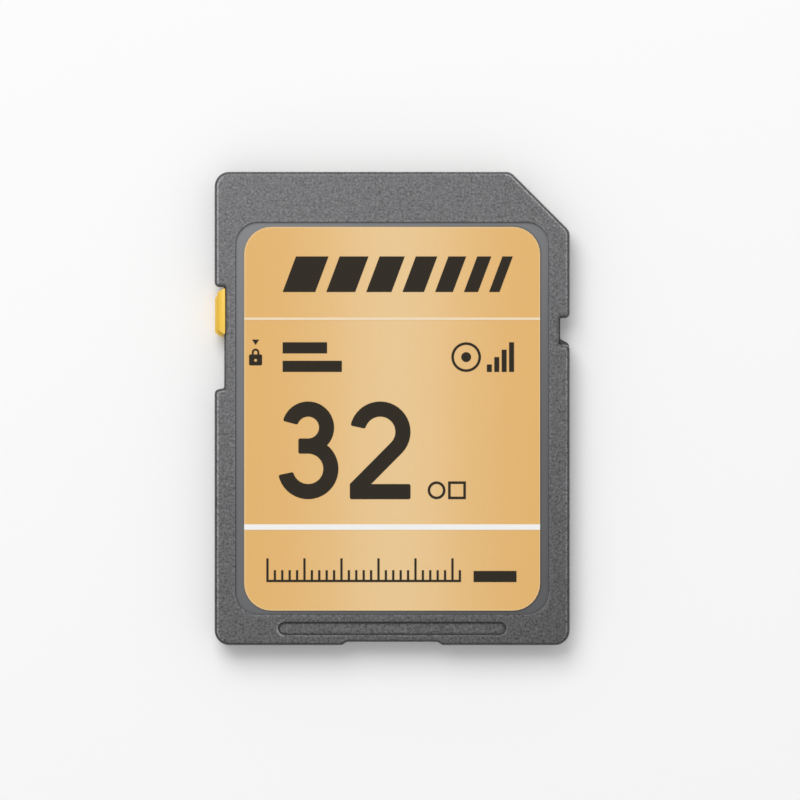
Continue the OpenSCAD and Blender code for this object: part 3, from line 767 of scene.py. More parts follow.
@dataclass(frozen=True)
class TabPlastic(Finish):
    """Glossy yellow plastic of the slider, rubbed by finger nails."""

    crown_z: float
    foot_z: float
    crown: Colour = (0.970, 0.625, 0.095)
    # Painted shade of the outer side, where the top slopes down.
    side: Colour = (0.750, 0.450, 0.012)
    foot: Colour = (0.790, 0.520, 0.060)
    rubbed: Colour = (0.970, 0.690, 0.200)
    inner_x: float = -11.29
    inner_ramp: Ramp = (-0.60, -0.08)
    foot_ramp: Ramp = (0.06, 0.03)
    crown_ramp: Ramp = (-0.05, -0.01)
    steep_ramp: Ramp = (0.8, 0.2)
    scratches_per_mm: Triple = (14.0, 1.2, 14.0)
    scratch_ramp: Ramp = (0.60, 0.72)
    scratch_share: float = 0.1
    crown_scratch_share: float = 0.15
    clouds_per_mm: float = 1.4
    cloud_tone: float = 0.12
    roughness: float = 0.32
    scratch_rough: float = 0.18
    cloud_rough: float = 0.1
    steep_rough: float = 0.3
    specular: float = 0.35
    coat: float = 0.15
    coat_wear: float = 0.1
    coat_roughness: float = 0.2
    scratch_depth: float = 0.004

    def surface(self, recipe: Recipe) -> dict[str, object]:
        """Yellow with fine scratches along its travel, and painted shade that deepens the colour from
        its pale inner edge toward its outer side.

        Args:
            recipe: The material's node tree.

        Returns:
            The sockets of the surface shader.
        """
        place = recipe.place()
        height = recipe.axis(place, "Z")
        level = recipe.axis(recipe.normal(), "Z")
        scratch = recipe.noise(recipe.stretched(place, self.scratches_per_mm))
        lines = recipe.step(scratch, *self.scratch_ramp)
        cloud = recipe.ripple(place, self.clouds_per_mm)
        inner = recipe.step(recipe.axis(place, "X") - self.inner_x, *self.inner_ramp)
        foot = recipe.step(height - self.foot_z, *self.foot_ramp)
        top = recipe.step(height - self.crown_z, *self.crown_ramp)
        steep = recipe.step(level, *self.steep_ramp)
        # Painted shade: the colour deepens from the inner edge toward the outer side.
        colour = recipe.blend(inner, self.side, self.crown)
        colour = recipe.blend(foot * (1 - steep), colour, self.foot)
        share = lines * (self.scratch_share + top * self.crown_scratch_share)
        colour = recipe.blend(share, colour, self.rubbed)
        rough = self.roughness + lines * self.scratch_rough + cloud * self.cloud_rough
        return {
            "Base Color": recipe.toned(colour, 1 + cloud * self.cloud_tone),
            "Roughness": rough + steep * self.steep_rough,
            "Specular IOR Level": self.specular,
            "Coat Weight": (self.coat - lines * self.coat_wear) * (1 - steep),
            "Coat Roughness": self.coat_roughness,
            "Normal": recipe.bump(scratch, self.scratch_depth),
        }


@dataclass(frozen=True)
class GoldFilm(Finish):
    """Satin gold label film with a pale band printed down its middle."""

    outline: Outline
    side: Colour = (0.768, 0.446, 0.143)
    centre: Colour = (0.822, 0.570, 0.280)
    # Painted highlight along the film's edge.
    rim: Colour = (0.83, 0.60, 0.30)
    rim_ramp: Ramp = (0.12, 0.03)
    rim_share: float = 0.7
    band_x: float = 0.2
    band_w: float = 3.7
    fibres_per_mm: Triple = (9.0, 1.1, 1.0)
    grains_per_mm: float = 11.0
    clouds_per_mm: float = 0.35
    fibre_tone: float = 0.035
    grain_tone: float = 0.04
    cloud_tone: float = 0.02
    roughness: float = 0.42
    grain_rough: float = 0.12
    cloud_rough: float = 0.1
    specular: float = 0.4
    grain_depth: float = 0.0015
    fibre_height: float = 0.5

    def surface(self, recipe: Recipe) -> dict[str, object]:
        """Gold that is palest down the middle, with a fine grain and a painted highlight along its
        edge.

        Args:
            recipe: The material's node tree.

        Returns:
            The sockets of the surface shader.
        """
        place = recipe.place()
        offset = (recipe.axis(place, "X") - self.band_x) / self.band_w
        band = (offset * offset * -0.5).math("EXPONENT")
        # Painted highlight along the film's edge.
        rim = recipe.step(recipe.inside(place, self.outline), *self.rim_ramp) * self.rim_share
        fibre = recipe.ripple(recipe.stretched(place, self.fibres_per_mm))
        grain = recipe.ripple(place, self.grains_per_mm)
        cloud = recipe.ripple(place, self.clouds_per_mm)
        colour = recipe.blend(rim, recipe.blend(band, self.side, self.centre), self.rim)
        tone = 1 + fibre * self.fibre_tone + grain * self.grain_tone + cloud * self.cloud_tone
        return {
            "Base Color": recipe.toned(colour, tone),
            "Roughness": self.roughness + grain * self.grain_rough + cloud * self.cloud_rough,
            "Specular IOR Level": self.specular,
            "Normal": recipe.bump(grain + fibre * self.fibre_height, self.grain_depth),
        }


@dataclass(frozen=True)
class Ink(Finish):
    """Screen-printed ink, a little uneven in its cover, and thinner past a given line."""

    colour: Colour
    thin: Colour
    specular: float
    roughness: float = 0.45
    faint_from_y: float = 100.0
    faint: Colour = (0.87, 0.72, 0.51)
    grains_per_mm: float = 8.0
    holes_per_mm: float = 13.0
    hole_ramp: Ramp = (0.68, 0.80)
    hole_share: float = 0.4
    clouds_per_mm: float = 0.8
    cloud_share: float = 0.25
    grain_rough: float = 0.2
    grain_depth: float = 0.002

    def surface(self, recipe: Recipe) -> dict[str, object]:
        """Ink with pinholes and a slightly raised, grainy skin.

        Args:
            recipe: The material's node tree.

        Returns:
            The sockets of the surface shader.
        """
        place = recipe.place()
        skin = recipe.noise(place, self.grains_per_mm)
        holes = recipe.step(recipe.noise(place, self.holes_per_mm, detail=1.0), *self.hole_ramp)
        cloud = recipe.noise(place, self.clouds_per_mm)
        wear_and_highlight = holes * self.hole_share + cloud * self.cloud_share
        colour = recipe.blend(wear_and_highlight, self.colour, self.thin)
        past = recipe.axis(place, "Y").math("GREATER_THAN", self.faint_from_y)
        return {
            "Base Color": recipe.blend(past, colour, self.faint),
            "Roughness": self.roughness + (skin - 0.5) * self.grain_rough,
            "Specular IOR Level": self.specular,
            "Normal": recipe.bump(skin, self.grain_depth),
        }


@dataclass(frozen=True)
class GoldPlate(Finish):
    """Hard gold on copper, wiped along its length by a socket's springs."""

    colour: Colour = (0.93, 0.66, 0.28)
    wiped: Colour = (0.97, 0.76, 0.42)
    dull: Colour = (0.66, 0.42, 0.16)
    scratches_per_mm: Triple = (22.0, 0.7, 1.0)
    scratch_ramp: Ramp = (0.56, 0.70)
    tracks_per_mm: Triple = (3.2, 0.18, 1.0)
    track_ramp: Ramp = (0.50, 0.62)
    stains_per_mm: float = 1.7
    stain_ramp: Ramp = (0.55, 0.75)
    wiped_share: float = 0.6
    dull_share: float = 0.45
    roughness: float = 0.34
    wiped_gloss: float = 0.1
    scratch_rough: float = 0.12
    dull_rough: float = 0.15
    scratch_depth: float = 0.004
    stain_height: float = 0.4

    def surface(self, recipe: Recipe) -> dict[str, object]:
        """Satin gold with long fine scratches, wiped tracks and dull spots.

        Args:
            recipe: The material's node tree.

        Returns:
            The sockets of the surface shader.
        """
        place = recipe.place()
        scratch = recipe.noise(recipe.stretched(place, self.scratches_per_mm), detail=3.0)
        track = recipe.noise(recipe.stretched(place, self.tracks_per_mm), detail=1.0)
        stain = recipe.noise(place, self.stains_per_mm, detail=3.0)
        lines = recipe.step(scratch, *self.scratch_ramp)
        wiped = recipe.step(track, *self.track_ramp)
        dull = recipe.step(stain, *self.stain_ramp)
        colour = recipe.blend(wiped * self.wiped_share, self.colour, self.wiped)
        rough = self.roughness - wiped * self.wiped_gloss + lines * self.scratch_rough
        return {
            "Base Color": recipe.blend(dull * self.dull_share, colour, self.dull),
            "Metallic": 1.0,
            "Roughness": rough + dull * self.dull_rough,
            "Normal": recipe.bump(scratch + stain * self.stain_height, self.scratch_depth),
        }


@dataclass(frozen=True)
class SolderMask(Finish):
    """Green solder mask over copper tracks and plated holes."""

    colour: Colour = (0.012, 0.085, 0.035)
    over_copper: Colour = (0.035, 0.170, 0.065)
    hole: Colour = (0.55, 0.36, 0.14)
    track_pitch: float = 0.42
    track_ramp: Ramp = (0.30, 0.24)
    bundles_per_mm: Triple = (0.9, 0.16, 0.2)
    bundle_ramp: Ramp = (0.46, 0.48)
    holes_per_mm: float = 0.75
    hole_spread: float = 0.9
    ring_start: Ramp = (0.06, 0.08)
    ring_end: Ramp = (0.16, 0.14)
    weave_per_mm: Triple = (5.0, 5.0, 1.0)
    weave_tone: float = 0.3
    ring_metal: float = 0.9
    roughness: float = 0.33
    weave_rough: float = 0.15
    ring_rough: float = 0.1
    relief: float = 0.012
    track_height: float = 0.8
    weave_height: float = 0.2

    def surface(self, recipe: Recipe) -> dict[str, object]:
        """Green with paler raised tracks, and small gilded holes among them.

        Args:
            recipe: The material's node tree.

        Returns:
            The sockets of the surface shader.
        """
        place = recipe.place()
        across = recipe.axis(place, "X") / self.track_pitch
        saw = (across.math("FRACT") - 0.5).math("ABSOLUTE")
        bundles = recipe.noise(recipe.stretched(place, self.bundles_per_mm))
        track = recipe.step(saw, *self.track_ramp) * recipe.step(bundles, *self.bundle_ramp)
        flat = recipe.stretched(place, (1.0, 1.0, 0.0))
        cells = {"Vector": flat, "Scale": self.holes_per_mm, "Randomness": self.hole_spread}
        spot = recipe.wire("TexVoronoi", {}, cells, "Distance")
        ring = recipe.step(spot, *self.ring_end) * recipe.step(spot, *self.ring_start)
        weave = recipe.ripple(recipe.stretched(place, self.weave_per_mm))
        colour = recipe.blend(track, self.colour, self.over_copper)
        colour = recipe.toned(colour, 1 + weave * self.weave_tone)
        height = track * self.track_height + ring + weave * self.weave_height
        return {
            "Base Color": recipe.blend(ring, colour, self.hole),
            "Metallic": ring * self.ring_metal,
            "Roughness": self.roughness + weave * self.weave_rough + ring * self.ring_rough,
            "Normal": recipe.bump(height, self.relief),
        }


@dataclass(frozen=True)
class MouldCompound(Finish):
    """Black package resin, with tinned metal outside a square round its middle."""

    half_w: float
    middle: tuple[float, float]
    resin: Colour = (0.016, 0.016, 0.018)
    flecks: Colour = (0.05, 0.05, 0.055)
    tin: Colour = (0.62, 0.61, 0.60)
    metal_ramp: Ramp = (-0.002, 0.002)
    grains_per_mm: float = 7.0
    fleck_ramp: Ramp = (0.60, 0.72)
    fleck_share: float = 0.5
    swirls_per_mm: Triple = (0.5, 1.6, 1.0)
    swirl_tone: float = 0.6
    roughness: float = 0.58
    grain_rough: float = 0.25
    metal_gloss: float = 0.2
    specular: float = 0.35
    grain_depth: float = 0.010

    def surface(self, recipe: Recipe) -> dict[str, object]:
        """Matt grainy black, and dull tin on what stands out of the package's sides.

        Args:
            recipe: The material's node tree.

        Returns:
            The sockets of the surface shader.
        """
        place = recipe.place()
        reaches = [
            (recipe.axis(place, letter) - centre).math("ABSOLUTE")
            for letter, centre in zip("XY", self.middle)
        ]
        metal = recipe.step(recipe.maths("MAXIMUM", *reaches) - self.half_w, *self.metal_ramp)
        grain = recipe.noise(place, self.grains_per_mm, detail=3.0)
        swirl = recipe.ripple(recipe.stretched(place, self.swirls_per_mm))
        specks = recipe.step(grain, *self.fleck_ramp) * self.fleck_share
        resin = recipe.blend(specks, self.resin, self.flecks)
        resin = recipe.toned(resin, 1 + swirl * self.swirl_tone)
        rough = self.roughness + (grain - 0.5) * self.grain_rough
        return {
            "Base Color": recipe.blend(metal, resin, self.tin),
            "Metallic": metal,
            "Roughness": rough - metal * self.metal_gloss,
            "Specular IOR Level": self.specular,
            "Normal": recipe.bump(grain, self.grain_depth),
        }


@dataclass(frozen=True)
class ChipCeramic(Finish):
    """Ceramic body of a small two-terminal part, between tinned end caps."""

    body: Colour
    middle: float
    half_body: float
    letter: str
    tin: Colour = (0.66, 0.65, 0.63)
    metal_ramp: Ramp = (-0.01, 0.01)
    grains_per_mm: float = 12.0
    lumps_per_mm: float = 3.0
    wavers_per_mm: float = 6.0
    waver_w: float = 0.03
    body_tone: float = 0.85
    grain_tone: float = 0.3
    metal_share: float = 0.95
    roughness: float = 0.5
    metal_gloss: float = 0.18
    grain_rough: float = 0.2
    grain_depth: float = 0.012
    body_height: float = 0.4

    def surface(self, recipe: Recipe) -> dict[str, object]:
        """Fired ceramic in the middle and lumpy tin at both ends.

        Args:
            recipe: The material's node tree.

        Returns:
            The sockets of the surface shader.
        """
        place = recipe.place()
        reach = (recipe.axis(place, self.letter) - self.middle).math("ABSOLUTE")
        waver = recipe.ripple(place, self.wavers_per_mm) * self.waver_w
        metal = recipe.step(reach + waver - self.half_body, *self.metal_ramp)
        grain = recipe.noise(place, self.grains_per_mm, detail=3.0)
        lumps = recipe.noise(place, self.lumps_per_mm)
        body = recipe.toned(self.body, self.body_tone + grain * self.grain_tone)
        rough = self.roughness - metal * self.metal_gloss
        return {
            "Base Color": recipe.blend(metal, body, self.tin),
            "Metallic": metal * self.metal_share,
            "Roughness": rough + (grain - 0.5) * self.grain_rough,
            "Normal": recipe.bump(grain * self.body_height + lumps * metal, self.grain_depth),
        }


def new_object(name: str, mesh: bmesh.types.BMesh) -> bpy.types.Object:
    """Puts a mesh into the scene as an object, and frees the mesh in progress.

    Args:
        name: The object's name.
        mesh: The mesh in progress.

    Returns:
        The object, at the origin.
    """
    data = bpy.data.meshes.new(name)
    mesh.to_mesh(data)
    mesh.free()
    made = bpy.data.objects.new(name, data)
    bpy.context.scene.collection.objects.link(made)
    return made


def combined(first: bmesh.types.BMesh, second: bmesh.types.BMesh, how: Join) -> bmesh.types.BMesh:
    """Joins or cuts one closed mesh with another.

    Args:
        first: The mesh that is kept.
        second: The mesh that is added or taken away.
        how: Which of the two is done.

    Returns:
        The result, while both meshes are used up.
    """
    kept = new_object("kept", first)
    tool = new_object("tool", second)
    modifier = kept.modifiers.new("combine", "BOOLEAN")
    modifier.operation = how.value
    modifier.solver = "EXACT"
    modifier.object = tool
    result = bmesh.new()
    result.from_object(kept, bpy.context.evaluated_depsgraph_get())
    for used in (kept, tool):
        bpy.data.meshes.remove(used.data)
    bmesh.ops.remove_doubles(result, verts=result.verts[:], dist=WELD_WITHIN)
    return result


def sloping_edges(mesh: bmesh.types.BMesh, limit_deg: float) -> list[bmesh.types.BMEdge]:
    """The edges at which two faces meet at more than an angle."""
    limit = math.radians(limit_deg)
    return [e for e in mesh.edges if len(e.link_faces) == 2 and e.calc_face_angle() > limit]


def round_edges(
    mesh: bmesh.types.BMesh, edges: list[bmesh.types.BMEdge], width: float, segments: int
) -> None:
    """Rounds some edges of a mesh.

    Args:
        mesh: The mesh.
        edges: Its edges that are rounded.
        width: How far the rounding reaches from an edge.
        segments: Facets across it.
    """
    bmesh.ops.bevel(
        mesh,
        geom=edges,
        offset=width,
        offset_type="OFFSET",
        affect="EDGES",
        segments=segments,
        profile=0.5,
        material=-1,
        clamp_overlap=True,
    )


def thicken(flat: bmesh.types.BMesh, thickness: float) -> bmesh.types.BMesh:
    """Makes a flat shape a closed slab.

    Args:
        flat: Faces that lie on z = 0.
        thickness: The slab's thickness.

    Returns:
        The same mesh, which now stands on z = 0.
    """
    raised = bmesh.ops.extrude_face_region(flat, geom=flat.faces[:])["geom"]
    verts = [g for g in raised if isinstance(g, bmesh.types.BMVert)]
    bmesh.ops.translate(flat, verts=verts, vec=(0.0, 0.0, thickness))
    bmesh.ops.recalc_face_normals(flat, faces=flat.faces[:])
    return flat


def round_corners(slab: bmesh.types.BMesh, radius: float, segments: int) -> None:
    """Rounds the outward corners of a slab, as seen from above.

    Args:
        slab: A mesh with level faces and upright sides.
        radius: The corners' radius, in the mesh's own unit.
        segments: Facets of each corner.
    """
    sharp = [e for e in sloping_edges(slab, CORNER_DEG) if e.calc_face_angle_signed() > 0]
    upright = [e for e in sharp if abs((e.verts[0].co - e.verts[1].co).z) > LEVEL_WITHIN]
    round_edges(slab, upright, radius, segments)


@dataclass
class Piece:
    """A finished piece of the scene, and what it rides on and stands for."""

    name: str
    slot: Slot
    body: Body = Body.CARD
    stands_for: Sequence[str] = ()
    sharp_deg: float = CORNER_DEG

    def publish(self, mesh: bmesh.types.BMesh, material: bpy.types.Material) -> bpy.types.Object:
        """Makes the object from a mesh in metres and dresses it.

        Args:
            mesh: The mesh, in its place on the card.
            material: The piece's material.

        Returns:
            The object.
        """
        for face in mesh.faces:
            face.smooth = True
        for edge in sloping_edges(mesh, self.sharp_deg):
            edge.smooth = False
        made = new_object(self.name, mesh)
        made.data.materials.append(material)
        shading = made.modifiers.new("even shading", "WEIGHTED_NORMAL")
        shading.keep_sharp = True
        shading.weight = 100
        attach(made, self.body.value)
        if self.stands_for:
            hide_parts(*self.stands_for)
        LOG.info("piece %s has %d faces", self.name, len(made.data.polygons))
        return made


@dataclass
class SoftCopy:
    """A copy of a CAD node whose sharp edges are broken by a small bevel."""

    node: str
    bevel: float = 0.0
    segments: int = 2
    merge_within: float = 1e-4
    flat_deg: float = 0.5
    edge_deg: float = 40.0

    def mesh(self) -> bmesh.types.BMesh:
        """Copies the node, merges its loose triangles and breaks its edges.

        Returns:
            The mesh, in metres.
        """
        made = bmesh.new()
        made.from_mesh(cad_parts[self.node].data)
        bmesh.ops.scale(made, verts=made.verts[:], vec=(1 / MM,) * 3)
        bmesh.ops.remove_doubles(made, verts=made.verts[:], dist=self.merge_within)
        flat = math.radians(self.flat_deg)
        bmesh.ops.dissolve_limit(made, angle_limit=flat, verts=made.verts[:], edges=made.edges[:])
        if self.bevel:
            edges = sloping_edges(made, self.edge_deg)
            round_edges(made, edges, self.bevel, self.segments)
        bmesh.ops.scale(made, verts=made.verts[:], vec=(MM,) * 3)
        return made


@dataclass
class Pen:
    """Draws strokes of even width on the label, as closed slabs in millimetres."""

    width: float
    thickness: float
    step_deg: float = 9.0
    spot: Vector = field(default_factory=lambda: Vector((0.0, 0.0)))
    heading: float = 0.0
    mesh: bmesh.types.BMesh = field(default_factory=bmesh.new)
    end: list = field(default_factory=list)

    def ahead(self, turn_deg: float = 0.0) -> Vector:
        """The direction at an angle from the pen's heading."""
        angle = math.radians(self.heading + turn_deg)
        return Vector((math.cos(angle), math.sin(angle), 0.0))

    def begin(self, x: float, y: float, heading: float) -> "Pen":
        """Sets the pen down, as one edge across its heading.

        Args:
            x: Where the stroke's middle line begins, across the card.
            y: Where it begins, along the card.
            heading: The direction of the stroke, in degrees from +X.

        Returns:
            The pen.
        """
        self.spot = Vector((x, y, 0.0))
        self.heading = heading
        across = self.ahead(90) * self.width / 2
        sides = [self.mesh.verts.new(self.spot + across), self.mesh.verts.new(self.spot - across)]
        self.end = [*sides, self.mesh.edges.new(sides)]
        return self

    def straight(self, length: float) -> "Pen":
        """Draws a straight stretch.

        Args:
            length: How long it is.

        Returns:
            The pen.
        """
        edges = [e for e in self.end if isinstance(e, bmesh.types.BMEdge)]
        moved = bmesh.ops.extrude_edge_only(self.mesh, edges=edges)["geom"]
        self.end = [g for g in moved if not isinstance(g, bmesh.types.BMFace)]
        self.end = [g for g in self.end if self.leads(g, edges)]
        verts = [g for g in self.end if isinstance(g, bmesh.types.BMVert)]
        bmesh.ops.translate(self.mesh, verts=verts, vec=self.ahead() * length)
        self.spot = self.spot + self.ahead() * length
        return self

    @staticmethod
    def leads(element: object, old: Sequence[bmesh.types.BMEdge]) -> bool:
        """Whether an element belongs to the new end edge and not to the sides of a stretch.

        Args:
            element: A vertex or an edge that a stretch has made.
            old: The edges that the stretch starts from.

        Returns:
            True for the new end edge and its vertices.
        """
        if isinstance(element, bmesh.types.BMVert):
            return True
        before = {v for e in old for v in e.verts}
        return not before & set(element.verts)

    def bend(self, radius: float, turn_deg: float) -> "Pen":
        """Draws an arc.

        Args:
            radius: Radius of the stroke's middle line.
            turn_deg: How far it turns, which is to the left where it is positive.

        Returns:
            The pen.
        """
        side = math.copysign(90, turn_deg)
        centre = self.spot + self.ahead(side) * radius
        drawn = bmesh.ops.spin(
            self.mesh,
            geom=self.end,
            cent=centre,
            axis=(0.0, 0.0, 1.0),
            angle=math.radians(turn_deg),
            steps=max(2, round(abs(turn_deg) / self.step_deg)),
            use_duplicate=False,
        )
        self.end = drawn["geom_last"]
        self.heading += turn_deg
        self.spot = centre - self.ahead(side) * radius
        return self

    def slab(self) -> bmesh.types.BMesh:
        """The stroke as a closed mesh that stands on z = 0."""
        return thicken(self.mesh, self.thickness)


def fused(parts: Sequence[bmesh.types.BMesh]) -> bmesh.types.BMesh:
    """Joins closed meshes into one.

    Args:
        parts: The meshes, which are used up.

    Returns:
        The whole.
    """
    whole = parts[0]
    for part in parts[1:]:
        whole = combined(whole, part, Join.ADD)
    return whole


def at_label(mesh: bmesh.types.BMesh, x: float, y: float, z: float) -> bmesh.types.BMesh:
    """Puts a mesh in millimetres at its place on the label.

    Args:
        mesh: The mesh, round its own origin.
        x: Its place across the card, in millimetres.
        y: Its place along the card, in millimetres.
        z: Its height above the card's back, in millimetres.

    Returns:
        The mesh, in metres.
    """
    bmesh.ops.translate(mesh, verts=mesh.verts[:], vec=(x, y, z))
    bmesh.ops.scale(mesh, verts=mesh.verts[:], vec=(MM,) * 3)
    return mesh


@dataclass
class BigNumber:
    """The plain number 32, drawn with strokes of even width."""

    height: float = 6.6
    stroke: float = 1.02
    digit_w: float = 4.1
    gap: float = 0.77
    corner: float = 0.13
    corner_segments: int = 4
    bar_share: float = 0.16
    three_start_deg: float = 165.0
    three_sweep_deg: float = 258.0
    two_start_deg: float = 168.0
    from_left: float = 2.27
    from_front: float = 18.4
    thickness: float = 0.02

    def pen(self) -> Pen:
        """A pen of the number's stroke."""
        return Pen(self.stroke, self.thickness)

    def on_bowl(self, radius: float, middle_y: float, start_deg: float) -> Pen:
        """Sets a pen down on a bowl, ready to draw it clockwise.

        Args:
            radius: Radius of the bowl's middle line.
            middle_y: Height of the bowl's middle.
            start_deg: Where on the bowl the stroke begins, in degrees from +X.

        Returns:
            The pen.
        """
        start = math.radians(start_deg)
        y = middle_y + radius * math.sin(start)
        return self.pen().begin(radius * math.cos(start), y, start_deg - 90)

    def three(self) -> bmesh.types.BMesh:
        """Draws the 3 from an upper and a lower bowl that share a short bar.

        Returns:
            The digit, with its foot's middle at the origin.
        """
        half = self.stroke / 2
        lower_r = self.digit_w / 2 - half
        upper_r = (self.height - self.stroke) / 2 - lower_r
        bar = self.digit_w * self.bar_share
        upper_y = self.height - half - upper_r
        upper = self.on_bowl(upper_r, upper_y, self.three_start_deg)
        upper.bend(upper_r, -90 - self.three_start_deg).straight(bar)
        lower = self.pen().begin(-bar, half + 2 * lower_r, 0).straight(bar)
        lower.bend(lower_r, -self.three_sweep_deg)
        return fused([upper.slab(), lower.slab()])

    def two(self) -> bmesh.types.BMesh:
        """Draws the 2 from a bowl that runs into a slanted stroke, and a foot.

        The slanted stroke leaves the bowl where its left side points at the foot's upper
        left corner, and ends there.

        Returns:
            The digit, with its foot's middle at the origin.
        """
        half = self.stroke / 2
        radius = self.digit_w / 2 - half
        bowl = Vector((0.0, self.height - self.digit_w / 2))
        foot_corner = Vector((-self.digit_w / 2, self.stroke))
        to_corner = foot_corner - bowl
        leave = math.atan2(to_corner.y, to_corner.x)
        leave += math.acos((radius - half) / to_corner.length)
        outward = Vector((math.cos(leave), math.sin(leave)))
        slant = (bowl + outward * radius - foot_corner - outward * half).length
        stroke = self.on_bowl(radius, bowl.y, self.two_start_deg)
        stroke.bend(radius, math.degrees(leave) - self.two_start_deg).straight(slant)
        foot = self.pen().begin(-self.digit_w / 2, half, 0).straight(self.digit_w)
        return fused([stroke.slab(), foot.slab()])

    def build(self, left: float, front: float, print_z: float, material: bpy.types.Material) -> None:
        """Prints the number on the label.

        Args:
            left: The label's left side.
            front: The label's front end.
            print_z: The label's upper face.
            material: The ink.
        """
        foot = front - self.from_front
        for index, (name, draw) in enumerate((("number_3", self.three), ("number_2", self.two))):
            middle = left + self.from_left + self.digit_w / 2 + index * (self.digit_w + self.gap)
            digit = draw()
            round_corners(digit, self.corner, self.corner_segments)
            Piece(name, Slot.DARK).publish(at_label(digit, middle, foot, print_z), material)


@dataclass
class LockSign:
    """Padlock with an arrow above it, beside the slider's locked end."""

    body_w: float = 0.88
    body_h: float = 0.74
    body_r: float = 0.10
    body_segments: int = 5
    keyhole_r: float = 0.10
    keyhole_y: float = 0.3478
    keyhole_segments: int = 20
    stroke: float = 0.13
    shackle_r: float = 0.19
    leg: float = 0.135
    arrow_w: float = 0.47
    arrow_h: float = 0.36
    arrow_from_foot: float = 1.38
    from_left: float = 0.77
    from_front: float = 9.36
    thickness: float = 0.02

    def body(self) -> bmesh.types.BMesh:
        """The padlock's body, rounded at its corners and pierced by its keyhole.

        Returns:
            The body, with its foot's middle at the origin.
        """
        block = bmesh.new()
        bmesh.ops.create_cube(block, size=1.0)
        bmesh.ops.scale(block, verts=block.verts[:], vec=(self.body_w, self.body_h, self.thickness))
        place = (0.0, self.body_h / 2, self.thickness / 2)
        bmesh.ops.translate(block, verts=block.verts[:], vec=place)
        round_corners(block, self.body_r, self.body_segments)
        drill = bmesh.new()
        bmesh.ops.create_cone(
            drill,
            cap_ends=True,
            segments=self.keyhole_segments,
            radius1=self.keyhole_r,
            radius2=self.keyhole_r,
            depth=1.0,
            matrix=Matrix.Translation((0.0, self.keyhole_y, 0.0)),
        )
        return combined(block, drill, Join.CUT)

    def shackle(self) -> bmesh.types.BMesh:
        """The padlock's bow, with its legs sunk into the body.

        Returns:
            The bow, in its place on the body.
        """
        sunk = self.stroke
        pen = Pen(self.stroke, self.thickness).begin(-self.shackle_r, self.body_h - sunk, 90)
        pen.straight(self.leg + sunk).bend(self.shackle_r, -180).straight(self.leg + sunk)
        return pen.slab()

    def arrow(self) -> bmesh.types.BMesh:
        """The arrow head that points down at the padlock.

        Returns:
            The arrow head, in its place over the body.
        """
        head = bmesh.new()
        bmesh.ops.create_circle(head, cap_ends=True, segments=3, radius=1.0)
        bmesh.ops.rotate(head, verts=head.verts[:], matrix=Matrix.Rotation(math.pi, 3, "Z"))
        low, high = min(v.co.y for v in head.verts), max(v.co.y for v in head.verts)
        wide = max(v.co.x for v in head.verts) - min(v.co.x for v in head.verts)
        bmesh.ops.translate(head, verts=head.verts[:], vec=(0.0, -low, 0.0))
        scale = (self.arrow_w / wide, self.arrow_h / (high - low), 1.0)
        bmesh.ops.scale(head, verts=head.verts[:], vec=scale)
        bmesh.ops.translate(head, verts=head.verts[:], vec=(0.0, self.arrow_from_foot, 0.0))
        return thicken(head, self.thickness)

    def build(self, left: float, front: float, print_z: float, material: bpy.types.Material) -> None:
        """Prints the sign on the label.

        Args:
            left: The label's left side.
            front: The label's front end.
            print_z: The label's upper face.
            material: The ink.
        """
        padlock = combined(self.body(), self.shackle(), Join.ADD)
        for name, mesh in (("lock_sign", padlock), ("lock_arrow", self.arrow())):
            placed = at_label(mesh, left + self.from_left, front - self.from_front, print_z)
            Piece(name, Slot.DARK).publish(placed, material)


@dataclass(frozen=True)
class FaceLayout:
    """Where the label, its recess and the grip groove lie on the front face."""

    film_corner: float = 1.85
    recess_corner: float = 1.5
    side_gap: float = 0.57
    front_gap: float = 0.31
    rear_gap: float = 0.24
    groove_l: float = 15.3
    groove_w: float = 0.76
    groove_from_rear: float = 1.13
    wall_x: float = 11.25
    wall_depth: float = 0.4
    wall_past: float = 0.05
    wall_corner: float = 0.04
    wall_y: tuple[float, float] = (1.38, 8.2)

    def film(self) -> Outline:
        """The label's outline."""
        low, high = (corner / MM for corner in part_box("label"))
        return Outline((low.x, low.y), (high.x, high.y), self.film_corner)

    def recess(self) -> Outline:
        """The outline of the label's recess."""
        gaps = (self.side_gap, self.front_gap, self.rear_gap)
        return self.film().grown(*gaps, self.recess_corner)

    def groove(self) -> Outline:
        """The outline of the grip groove.

        Returns:
            The outline, which is round at both ends.
        """
        low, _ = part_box("front_shell")
        middle = low.y / MM + self.groove_from_rear
        half_l, half_w = self.groove_l / 2, self.groove_w / 2
        return Outline((-half_l, middle - half_w), (half_l, middle + half_w), half_w)

    def notch_wall(self) -> Outline:
        """The outline of the face's edge strip beside the notches, on the right-hand side."""
        x, (rear, front) = self.wall_x, self.wall_y
        return Outline((x - self.wall_depth, rear), (x + self.wall_past, front), self.wall_corner)


@dataclass
class Housing:
    """The front and back shells."""

    layout: FaceLayout = field(default_factory=FaceLayout)

    def build(self) -> None:
        """Puts smooth-shaded copies in place of both shells."""
        label_low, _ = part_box("label")
        contact_low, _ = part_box("contact_pad_1")
        plastic = MouldedPlastic(
            "moulded_grey_plastic",
            edges=EdgeTone(self.layout.notch_wall()),
            recess=RecessTone(self.layout.recess(), self.layout.film()),
            groove=GrooveTone(self.layout.groove()),
            recess_z=label_low.z / MM,
            contact_z=contact_low.z / MM,
        ).material()
        for side in ("front", "back"):
            node = f"{side}_shell"
            piece = Piece(f"{side}_housing", Slot.SHELL, stands_for=[node])
            piece.publish(SoftCopy(node).mesh(), plastic)


